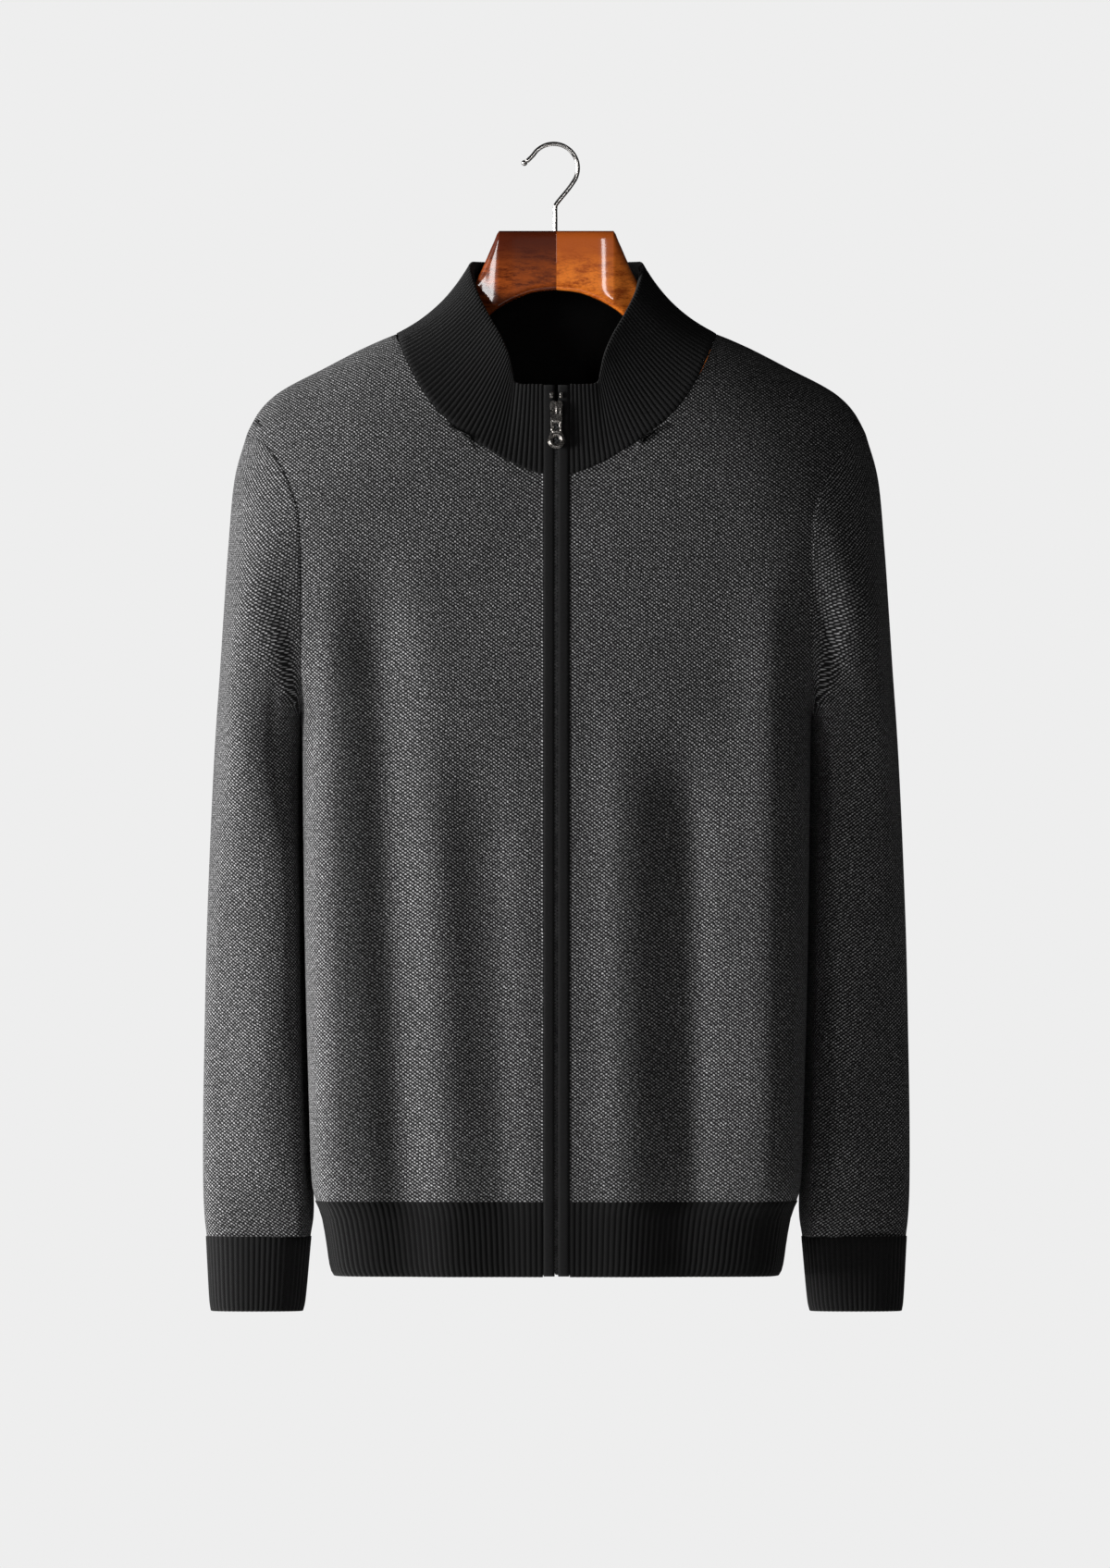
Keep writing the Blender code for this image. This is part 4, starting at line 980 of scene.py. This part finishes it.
def wood_material():
    """Varnished red-brown wood: mottled grain that slants on one half and lies level on the other, with
    painted shade that darkens the top.
    """
    material, tree, shader = graph("varnished_wood")
    place = add(tree, "TexCoord", out=3)
    x, _, z = axes(tree, place)
    left_half = ramp(tree, x, -0.0004, 0.0004, 1.0, 0.0)
    grains = []
    for angle, stretch in WOOD_GRAIN:
        turned = add(tree, "Mapping", place, None, (0, angle, 0), (1, 1, stretch))
        coarse = noise(tree, turned, 60, 4, 0.6)
        fine = noise(tree, turned, 420, 3, 0.7)
        grains.append(weighed(tree, coarse, fine, 0.62))
    grain = add(tree, "Mix", left_half, None, *grains)
    share = ramp(tree, grain, 0.36, 0.62)
    tone = blend_colour(tree, left_half, *(blend_colour(tree, share, *pair) for pair in WOOD_TONES))
    shaded_top = blend_colour(tree, left_half, *WOOD_TOP_PAINTED_SHADE)
    # Painted shade: the colour turns to the darker top tone with height
    colour(tree, shader, ramp(tree, z, *WOOD_PAINTED_SHADE_Z), tone, shaded_top)
    tree.links.new(ramp(tree, grain, 0.3, 0.7, 0.24, 0.36), shader.inputs["Roughness"])
    bump(tree, shader, grain, 0.00006, 0.5)
    settings(shader, Coat_Weight=1.0, Coat_Roughness=0.07, Specular_IOR_Level=0.12)
    return material


def floor_material():
    material, tree, shader = graph("pale_floor")
    place = add(tree, "TexCoord", out=3)
    colour(tree, shader, ramp(tree, noise(tree, place, 3, 3), 0.3, 0.7), (0.80,) * 3, (0.84,) * 3)
    settings(shader, Roughness=0.9)
    return material


MATERIALS = {
    "knit": knit_material(),
    "rib": rib_material("rib_knit", (0.0125, 0.0123, 0.0125), (0.0022, 0.0022, 0.0023)),
    # The hem's rib is the same black rib as the cuffs and collar, coloured darker: painted shade
    "hem": rib_material("hem_knit_painted_shade", (0.0060, 0.0059, 0.0060), (0.0014, 0.0014, 0.0014)),
    "band": rib_material("band_knit", (0.0120, 0.0118, 0.0120), (0.0022, 0.0022, 0.0023)),
    "tape": tape_material(),
    "gunmetal": metal_material("worn_nickel", (0.20, 0.185, 0.17), (0.55, 0.52, 0.49), 0.26, 900),
    "teeth": metal_material("dark_teeth", (0.05, 0.05, 0.052), (0.12, 0.12, 0.12), 0.35, 900),
    "wood": wood_material(),
    "steel": metal_material("bright_wire", (0.52, 0.50, 0.48), (0.74, 0.72, 0.70), 0.16, 500),
}
INSIDES = {"knit": ("band",), "rib": ("rib",), "hem": ("hem",)}


def place_piece(obj, finish, *nodes, body="garment"):
    """Gives a piece its material and slot, and lets it stand for its nodes and ride on its body."""
    for name in (finish, *INSIDES.get(finish, ())):
        obj.data.materials.append(MATERIALS[name])
    if nodes:
        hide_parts(*nodes)
    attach(obj, body)
    return obj


# Cloth


def both_halves(*sides):
    """A left and a right half as one sheet, with the middle's column once."""
    return (np.concatenate([a[:, :0:-1], b], axis=1) for a, b in zip(*sides))


def make_panels():
    sheets = {}
    for side, place in SIDES:
        points, normals = panel_sheet("front", side)
        sheets["front", side] = points, normals
        cloth = knit_places("front", side, points)
        front = wall_piece(f"knit_front_{place}", points, normals, WALL, cloth)
        place_piece(front, "knit", f"front_{place}")
        sheets["back", side] = panel_sheet("back", side)
    halves = [(*sheets["back", side], knit_places("back", side, sheets["back", side][0])) for side in (-1, 1)]
    points, normals, cloth = both_halves(*halves)
    back = wall_piece("knit_back", points, normals, WALL, cloth)
    place_piece(back, "knit", "back")
    return sheets


def rib_cloth(points):
    return np.stack([run_along(points, 1), run_along(points, 0)], axis=-1)


def rib_piece(name, finish, node, points, normals, wall=RIB_WALL, closed=False):
    """A ribbed wall of cloth in place of a node."""
    rise = rib_rise(points.shape[1], len(points))
    piece = wall_piece(name, points, normals, wall, rib_cloth(points), closed, RIB_BULGES, rise)
    place_piece(piece, finish, node)


def make_hem(sheets):
    # The hem takes the darker copy of the rib material, which is painted shade
    for side, place in SIDES:
        rib_piece(f"rib_hem_front_{place}", "hem", f"hem_front_{place}", *hem_sheet(sheets, "front", side))
    backs = (hem_sheet(sheets, "back", side) for side, _ in SIDES)
    rib_piece("rib_hem_back", "hem", "hem_back", *both_halves(*backs))


# The sleeve's cloth runs on from its outer line, and the sleeve closes on the body at the armpit
OUTER_BLEND = 0.030
ARMPIT_Z, ARMPIT_REACH = -0.431, 0.018
ARMPIT_X = (0.190, 0.204)
ARMPIT_CLOSE = 0.0022


def make_sleeves(sheets):
    for side, place in SIDES:
        rings, normals = sleeve_sheet(sheets, side)
        flatten(normals[-1], 2)
        under = rings.shape[1] // 2
        from_seam = np.r_[under : 2 * under, : under + 1]
        rings, normals = rings[:, from_seam], normals[:, from_seam]
        width = run_along(rings * (1, 1, 0), 1)
        width -= width[:, under : under + 1]
        outer = np.abs(rings[:, under, 0:1])
        width -= (outer - outer[-1]) * np.tanh(width / OUTER_BLEND)
        cloth = np.stack([width, rings[..., 2] - rings[-1, 0, 2]], axis=-1)
        near = np.exp(-(((rings[..., 2] - ARMPIT_Z) / ARMPIT_REACH) ** 2))
        near *= 1 - smoothstep(np.abs(rings[..., 0]), *ARMPIT_X)
        rings[..., 0] -= side * ARMPIT_CLOSE * near
        piece = wall_piece(f"knit_sleeve_{place}", rings, normals, WALL, cloth, closed=True)
        place_piece(piece, "knit", f"sleeve_{place}")
        rib_piece(f"rib_cuff_{place}", "rib", f"cuff_{place}", *cuff_sheet(side), closed=True)


def front_line(collar, front, hem):
    """The front's middle as (y, z), from the collar's top down to the hem."""
    return np.concatenate([collar[::-1, 0, 1:], front[::-1, 0, 1:], hem[:, 0, 1:]])


def strip_piece(name, line, outline):
    """A strip down the front's middle with a closed section of (x, lift) points."""
    points = np.array([[(x, y + lift, z) for x, lift in outline] for y, z in line])
    points = np.concatenate([points, points[:, :1]], axis=1)
    cloth = rib_cloth(points).reshape(-1, 2)
    index = np.arange(points.shape[0] * points.shape[1]).reshape(points.shape[:2])
    faces = np.stack([index[:-1, :-1], index[:-1, 1:], index[1:, 1:], index[1:, :-1]], axis=-1)
    faces = faces.reshape(-1, 4).tolist() + [index[0, -2::-1].tolist(), index[-1, :-1].tolist()]
    joins = joined_columns(*points.shape[:2])
    return mesh_piece(name, points.reshape(-1, 3), faces, cloth, 2, joins)


def band_outline(side):
    """A knitted band's section: a soft box with a fuller front."""
    middle = side * (BAND_INNER_X + BAND_OUTER_X) / 2
    reach = (BAND_OUTER_X - BAND_INNER_X) / 2
    centre, half = (BAND_BACK - BAND_PROUD) / 2, (BAND_BACK + BAND_PROUD) / 2
    turn = np.linspace(0, 2 * math.pi, 33)[:-1]
    x = middle + reach * power_wave(np.cos(turn), BAND_CORNERS[0])
    full = np.where(np.sin(turn) > 0, BAND_FULL, 1)
    lift = centre - half * power_wave(np.sin(turn), BAND_CORNERS[1]) * full
    return list(zip(x, lift))


def make_zip(line):
    chain_front = BAND_BACK + SEAM_GAP
    tape_front = chain_front + CHAIN_DEPTH + SEAM_GAP
    for side, place in SIDES:
        band = strip_piece(f"band_{place}", line, band_outline(side))
        place_piece(band, "band", f"placket_{place}")
        run = part_of_line(line, line[0, 1] - TAPE_INSET, line[-1, 1] + ZIP_FOOT)
        ends = (side * TAPE_INNER_X, side * TAPE_OUTER_X)
        section = [(ends[0], tape_front), (ends[1], tape_front)]
        section += [(ends[1], tape_front + TAPE_DEPTH), (ends[0], tape_front + TAPE_DEPTH)]
        tape = strip_piece(f"woven_tape_{place}", run, section)
        place_piece(tape, "tape", f"zip_tape_{place}")
    make_teeth(line, chain_front)


TOOTH_PITCH = 0.0025
TOOTH_HEIGHT = 0.0013
TOOTH_REACH = (-0.0022, 0.0009)
TOOTH_TOP_GAP = 0.001


def make_teeth(line, chain_front):
    """Teeth from both sides in turn, each a block that narrows to a rounded head."""
    top = SLIDER_TOP_Z - SLIDER_LENGTH - TOOTH_TOP_GAP
    heights = np.arange(top, line[-1, 1] + ZIP_FOOT, -TOOTH_PITCH / 2)
    low, high = TOOTH_REACH
    half = TOOTH_HEIGHT / 2
    head = [(0.2 * high, -half), (high, -0.5 * half), (high, 0.5 * half), (0.2 * high, half)]
    shape = [(low, -half), *head, (low, half)]
    vertices, faces = [], []
    for number, z in enumerate(heights):
        side = 1 if number % 2 else -1
        y = line_y(line, z) + chain_front
        start = len(vertices)
        for depth, shrink in ((0.0, 0.8), (0.0003, 1.0), (CHAIN_DEPTH, 1.0)):
            vertices += [(-side * (low + (x - low) * shrink), y + depth, z + dz * shrink) for x, dz in shape]
        for ring in (0, 6):
            for k in range(6):
                m = (k + 1) % 6
                quad = [start + ring + k, start + ring + m, start + ring + 6 + m, start + ring + 6 + k]
                faces.append(quad if side > 0 else quad[::-1])
        front = [start + k for k in range(6)]
        back = [start + 12 + k for k in range(6)]
        faces += [front[::-1], back] if side > 0 else [front, back[::-1]]
    teeth = mesh_piece("zip_teeth", np.array(vertices), faces, flat_faces=len(faces))
    place_piece(teeth, "teeth", "zip_chain")


# Zip hardware


def joined(name, objects):
    """One piece from several closed meshes, each of which keeps its own faces."""
    vertices, faces, flat = [], [], []
    bpy.context.view_layer.update()
    graph_now = bpy.context.evaluated_depsgraph_get()
    for obj in objects:
        mesh = bpy.data.meshes.new_from_object(obj.evaluated_get(graph_now))
        start = len(vertices)
        vertices += [obj.matrix_world @ v.co for v in mesh.vertices]
        faces += [[start + k for k in p.vertices] for p in mesh.polygons]
        flat += [not p.use_smooth for p in mesh.polygons]
        bpy.data.objects.remove(obj)
    order = sorted(range(len(faces)), key=lambda k: flat[k])
    return mesh_piece(name, np.array(vertices), [faces[k] for k in order], flat_faces=sum(flat))


def plate(name, outlines, thickness, centre_y, bevel, matrix):
    """A flat piece in the XZ plane from a closed outline and its holes, with rounded edges."""
    curve = bpy.data.curves.new(name, "CURVE")
    curve.dimensions = "2D"
    curve.fill_mode = "BOTH"
    curve.extrude = thickness / 2 - bevel
    curve.bevel_depth = bevel
    curve.bevel_resolution = 3
    curve.offset = -bevel
    for outline in outlines:
        spline = curve.splines.new("POLY")
        spline.points.add(len(outline) - 1)
        for point, (x, z) in zip(spline.points, outline):
            point.co = (x, z, 0, 1)
        spline.use_cyclic_u = True
    obj = bpy.data.objects.new(name, curve)
    obj.matrix_world = matrix @ Matrix.Translation((0, centre_y, 0)) @ Matrix.Rotation(math.pi / 2, 4, "X")
    bpy.context.scene.collection.objects.link(obj)
    return obj


def wire(name, route, radius, sides, matrix):
    obj = tube_piece(name, route, [radius] * len(route), sides)
    obj.matrix_world = matrix
    return obj


def box_outline(half_width, first, last):
    return [(-half_width, first), (half_width, first), (half_width, last), (-half_width, last)]


# Outlines of the slider and a stop, in shares of their half width and half height
SHIELD = (
    *((-1, 0.55), (-0.86, 0.9), (-0.45, 1), (0, 0.86), (0.45, 1), (0.86, 0.9), (1, 0.55)),
    *((0.8, -0.5), (0.66, -1), (-0.66, -1), (-0.8, -0.5)),
)
WAISTED = (
    *((-1, -1), (1, -1), (1, -0.2), (0.7, 0), (1, 0.2)),
    *((1, 1), (-1, 1), (-1, 0.2), (-0.7, 0), (-1, -0.2)),
)


def make_slider(line):
    """The slider's shield-shaped body with its back plate and the post between them, the bail, and the top
    stops.
    """
    middle_z = SLIDER_TOP_Z - SLIDER_LENGTH / 2
    top_y, low_y = (line_y(line, z) for z in (SLIDER_TOP_Z, SLIDER_TOP_Z - SLIDER_LENGTH))
    tilt = math.atan2(low_y - top_y, SLIDER_LENGTH)
    turned = Matrix.Rotation(tilt, 4, "X")
    matrix = Matrix.Translation((0, (top_y + low_y) / 2 - BAND_PROUD, middle_z)) @ turned
    half, wide = SLIDER_LENGTH / 2, SLIDER_WIDTH / 2
    shield = [(x * wide, z * half) for x, z in SHIELD]
    front_y = -SEAM_GAP - SLIDER_PLATE / 2
    back_y = BAND_PROUD + BAND_BACK + CHAIN_DEPTH + TAPE_DEPTH + 5 * SEAM_GAP
    body = plate("body", [shield], SLIDER_PLATE, front_y, SLIDER_EDGES[0], matrix)
    small = [(x * SLIDER_BACK_SHARE[0], z * SLIDER_BACK_SHARE[1]) for x, z in shield]
    rear = plate("rear", [small], SLIDER_BACK, back_y, SLIDER_EDGES[1], matrix)
    post_wide, post_half = SLIDER_POST
    post = box_outline(post_wide, SLIDER_POST_RISE - post_half, SLIDER_POST_RISE + post_half)
    middle = plate("post", [post], back_y - front_y, (back_y + front_y) / 2, SLIDER_EDGES[2], matrix)
    slider = joined("slider_body", [body, rear, middle])
    place_piece(slider, "gunmetal", "slider")
    foot_y = -SEAM_GAP - SLIDER_PLATE + 0.0001
    centre_z = (BAIL_TOP_Z + BAIL_LOW_Z) / 2 - middle_z
    reach = (BAIL_TOP_Z - BAIL_LOW_Z) / 2
    rise = BAIL_RISE + SEAM_GAP + BAIL_WIRE
    route = [
        (0, foot_y - rise * math.sin(a) ** BAIL_POWER, centre_z + reach * math.cos(a))
        for a in np.linspace(0, math.pi, 33)
    ]
    bail = joined("bail_wire", [wire("bail", route, BAIL_WIRE, 16, matrix)])
    place_piece(bail, "gunmetal", "slider_bail")
    for side, place in SIDES:
        stop_y = line_y(line, STOP_Z) - BAND_PROUD - SEAM_GAP - STOP_SIZE[1] / 2
        at = Matrix.Translation((side * STOP_X, stop_y, STOP_Z)) @ turned
        block = [(x * STOP_SIZE[0] / 2, z * STOP_SIZE[2] / 2) for x, z in WAISTED]
        stop = joined(f"stop_{place}", [plate("stop", [block], STOP_SIZE[1], 0, PULL_EDGE, at)])
        place_piece(stop, "gunmetal", f"top_stop_{place}")
    return matrix


def make_pull(line, slider_matrix):
    """The pull: bar, arms, a plate with raised rails round its slot, and a rounded ring."""
    length = PULL_RING_DROP + PULL_RING_RADIUS
    top_y, low_y = line_y(line, PULL_Z), line_y(line, PULL_Z - length)
    bar_y = -2 * SEAM_GAP - SLIDER_PLATE - PULL_THICKNESS / 2
    middle_z = SLIDER_TOP_Z - SLIDER_LENGTH / 2
    pivot = slider_matrix @ Vector((0, bar_y, PULL_Z - middle_z))
    matrix = Matrix.Translation(pivot) @ Matrix.Rotation(math.atan2(low_y - top_y, length), 4, "X")
    wide, waist = PULL_HALF_WIDTH, PULL_WAIST_HALF_WIDTH
    slot_width, slot_top, slot_low = PULL_SLOT
    outer = [(-wide, PULL_BAR), (-wide, -slot_top), (-waist, -slot_low)]
    outer += arc(0, -PULL_RING_DROP, PULL_RING_RADIUS, PULL_RING_RADIUS, 155, 385, 48)
    outer += [(waist, -slot_low), (wide, -slot_top), (wide, PULL_BAR)]
    hole = arc(0, -PULL_RING_DROP, *PULL_HOLE, 0, 354, 60)
    windows = [
        box_outline(PULL_WINDOW_HALF_WIDTH, -PULL_BAR, -PULL_WINDOW_DROP),
        box_outline(slot_width, -slot_top, -slot_low),
    ]
    flat_part = plate("flat", [outer, hole, *windows], PULL_THICKNESS, 0, PULL_EDGE, matrix)
    rail_y = -PULL_THICKNESS / 2
    ring_x = (PULL_RING_RADIUS + PULL_HOLE[0]) / 2
    ring_z = (PULL_RING_RADIUS + PULL_HOLE[1]) / 2
    ring = [(x, rail_y + RING_SINK, z) for x, z in arc(0, -PULL_RING_DROP, ring_x, ring_z, 0, 360, 61)]
    pieces = [flat_part, wire("ring", ring, RING_WIRE, 12, matrix)]
    for side in (-1, 1):
        rail_x = side * (wide - RAIL_INSET)
        rail = [(rail_x, rail_y + RAIL_SINK, z) for z in np.linspace(*RAIL_ENDS, 8)]
        pieces.append(wire("rail", rail, RAIL_WIRE, 12, matrix))
    for z in CROSS_ENDS:
        cross_x = wide - CROSS_INSET
        cross = [(x, rail_y + RAIL_SINK, z) for x in np.linspace(-cross_x, cross_x, 8)]
        pieces.append(wire("cross", cross, RAIL_WIRE, 12, matrix))
    place_piece(joined("pull_plate", pieces), "gunmetal", "pull_tab", body="pull")


# Hanger


def make_hanger():
    """Two varnished arms whose glued ends almost touch."""
    keys = HANGER["x"]
    fine = np.unique(np.concatenate([keys, np.linspace(keys[0], keys[-1], 110)]))
    columns = [smooth(keys, values)(fine) for values in list(HANGER.values())[1:]]
    turn = np.linspace(0, 2 * math.pi, 65)[:-1]
    fine[0] = GLUE_X
    for side, place in SIDES:
        rings = []
        for x, top, bottom, half_thickness, corner in zip(fine, *columns):
            y = half_thickness * power_wave(np.cos(turn), corner)
            z = (top + bottom) / 2 + (top - bottom) / 2 * power_wave(np.sin(turn), corner)
            rings.append(np.stack([np.full_like(y, side * x), y, z], axis=1))
        rings = np.array(rings)
        faces = tube_faces(*rings.shape[:2])
        if side < 0:
            faces = [face[::-1] for face in faces]
        arm = mesh_piece(f"wood_arm_{place}", rings.reshape(-1, 3), faces, flat_faces=2)
        arm.data.set_sharp_from_angle(angle=math.radians(WOOD_SHARP))
        place_piece(arm, "wood", f"hanger_{place}")


def make_hook():
    """Bright wire that ends in a small ball."""
    centre_z = HOOK_WIRE - HOOK_RADIUS
    route = [(HOOK_BEND[0][0], HANGER["top"][0] + rise) for rise in HOOK_STEM] + [*HOOK_BEND]
    route += arc(HOOK_X, centre_z, HOOK_RADIUS, HOOK_RADIUS, *HOOK_TURN, 19)
    route += HOOK_END
    fine = through(np.array([(x, 0, z) for x, z in route]), 8)
    last = unit(fine[-1] - fine[-2])
    ball_start = fine[-1]
    turn = np.linspace(0.25, math.pi - 0.02, 20)
    ball = [ball_start + last * HOOK_TIP_RADIUS * (0.97 - math.cos(a)) for a in turn]
    radii = [HOOK_WIRE] * len(fine) + [HOOK_TIP_RADIUS * max(math.sin(a), 0.02) for a in turn]
    radii[len(fine)] = HOOK_WIRE * 0.9
    hook = tube_piece("hook_wire", [*fine, *ball], radii, 20)
    place_piece(hook, "steel", "hook", "hook_tip")


# Assembly

sheets = make_panels()
make_hem(sheets)
make_sleeves(sheets)
collar = collar_sheet(sheets)
rib_piece("rib_collar", "rib", "collar", *collar, wall=COLLAR_WALL)
line = front_line(collar[0], sheets["front", 1][0], hem_sheet(sheets, "front", 1)[0])
make_zip(line)
make_pull(line, make_slider(line))
make_hanger()
make_hook()

# Each sheet's flat size, its area where it isn't a rectangle, and what carries it
hangs_on = ["wood_arm_left", "wood_arm_right"]
flat_sizes = []
for _, place in SIDES:
    front = f"knit_front_{place}"
    sleeve = f"knit_sleeve_{place}"
    flat_sizes += [
        (front, (0.260, 0.620), 0.135, hangs_on),
        (sleeve, (0.330, 0.560), 0.130, [front, "knit_back"]),
        (f"rib_cuff_{place}", (0.210, 0.058), None, [sleeve]),
        (f"rib_hem_front_{place}", (0.210, 0.058), None, [front]),
        (f"band_{place}", (0.012, 0.660), None, [front]),
        (f"woven_tape_{place}", (0.0135, 0.655), None, [f"band_{place}"]),
    ]
flat_sizes += [
    ("knit_back", (0.500, 0.660), 0.270, hangs_on),
    ("rib_hem_back", (0.400, 0.058), None, ["knit_back"]),
    ("rib_collar", (0.570, 0.085), 0.044, ["knit_back", "knit_front_left", "knit_front_right"]),
]


# Studio

# The floor's rings, each with its radius and height
FLOOR = ((2.34, -1.83), (2.39, -1.82), (2.40, -1.81), (2.39, -1.80), (2.34, -1.80), (1.2, -1.80))
LIGHTS = (
    ("key", (-4.70, -1.75, -0.30), (0, 0, -0.45), (0.9, 2.0), 470),
    ("rim", (-4.90, 0.90, -0.20), (0, 0, -0.45), (0.9, 2.0), 220),
    ("card_left", (-1.68, -2.52, -0.02), (0, 0, -0.15), (0.30, 0.9), 12),
    ("card_right", (0.35, -3.0, -0.02), (0, 0, -0.15), (0.14, 1.0), 6),
)
SEEN_WORLD = (0.855, 0.855, 0.855, 1)
LIT_WORLD = (0.9, 0.9, 0.9, 1)
LIT_STRENGTH = 0.035
CAMERA_PLACE = (-0.001, -16.0, -0.469)
CAMERA_TARGET = (-0.001, 0.0, -0.469)
VIEW_HEIGHT = 1.1526
SENSOR = 36


def make_floor():
    """A pale disc far below the hanging piece, with a rounded edge."""
    turn = np.linspace(0, 2 * math.pi, 96, endpoint=False)
    vertices = [(r * math.cos(a), r * math.sin(a), z) for r, z in FLOOR for a in turn]
    floor = mesh_piece("studio_floor", np.array(vertices), tube_faces(len(FLOOR), len(turn)))
    floor.data.materials.append(floor_material())


def area_light(name, place, target, size, energy):
    light = bpy.data.lights.new(name, "AREA")
    light.shape = "RECTANGLE"
    light.size, light.size_y = size
    light.energy = energy
    obj = bpy.data.objects.new(name, light)
    obj.location = place
    obj.rotation_euler = (Vector(target) - Vector(place)).to_track_quat("-Z", "Y").to_euler()
    bpy.context.scene.collection.objects.link(obj)


def make_world():
    """Pale to the camera, and a weaker even light on everything else."""
    world = bpy.data.worlds.new("studio")
    bpy.context.scene.world = world
    world.use_nodes = True
    tree = world.node_tree
    seen, lit = tree.nodes["Background"], tree.nodes.new("ShaderNodeBackground")
    seen.inputs["Color"].default_value = SEEN_WORLD
    lit.inputs["Color"].default_value = LIT_WORLD
    lit.inputs["Strength"].default_value = LIT_STRENGTH
    path, mix = tree.nodes.new("ShaderNodeLightPath"), tree.nodes.new("ShaderNodeMixShader")
    tree.links.new(path.outputs["Is Camera Ray"], mix.inputs[0])
    tree.links.new(lit.outputs[0], mix.inputs[1])
    tree.links.new(seen.outputs[0], mix.inputs[2])
    tree.links.new(mix.outputs[0], tree.nodes["World Output"].inputs[0])


make_floor()
make_world()
for light in LIGHTS:
    area_light(*light)

camera = bpy.data.objects.new("camera", bpy.data.cameras.new("camera"))
bpy.context.scene.collection.objects.link(camera)
towards = Vector(CAMERA_TARGET) - Vector(CAMERA_PLACE)
camera.location = CAMERA_PLACE
camera.rotation_euler = towards.to_track_quat("-Z", "Y").to_euler()
camera.data.sensor_fit = "AUTO"
camera.data.lens = SENSOR * towards.length / VIEW_HEIGHT
bpy.context.scene.camera = camera
bpy.context.scene.view_settings.view_transform = "Standard"

bpy.context.view_layer.update()
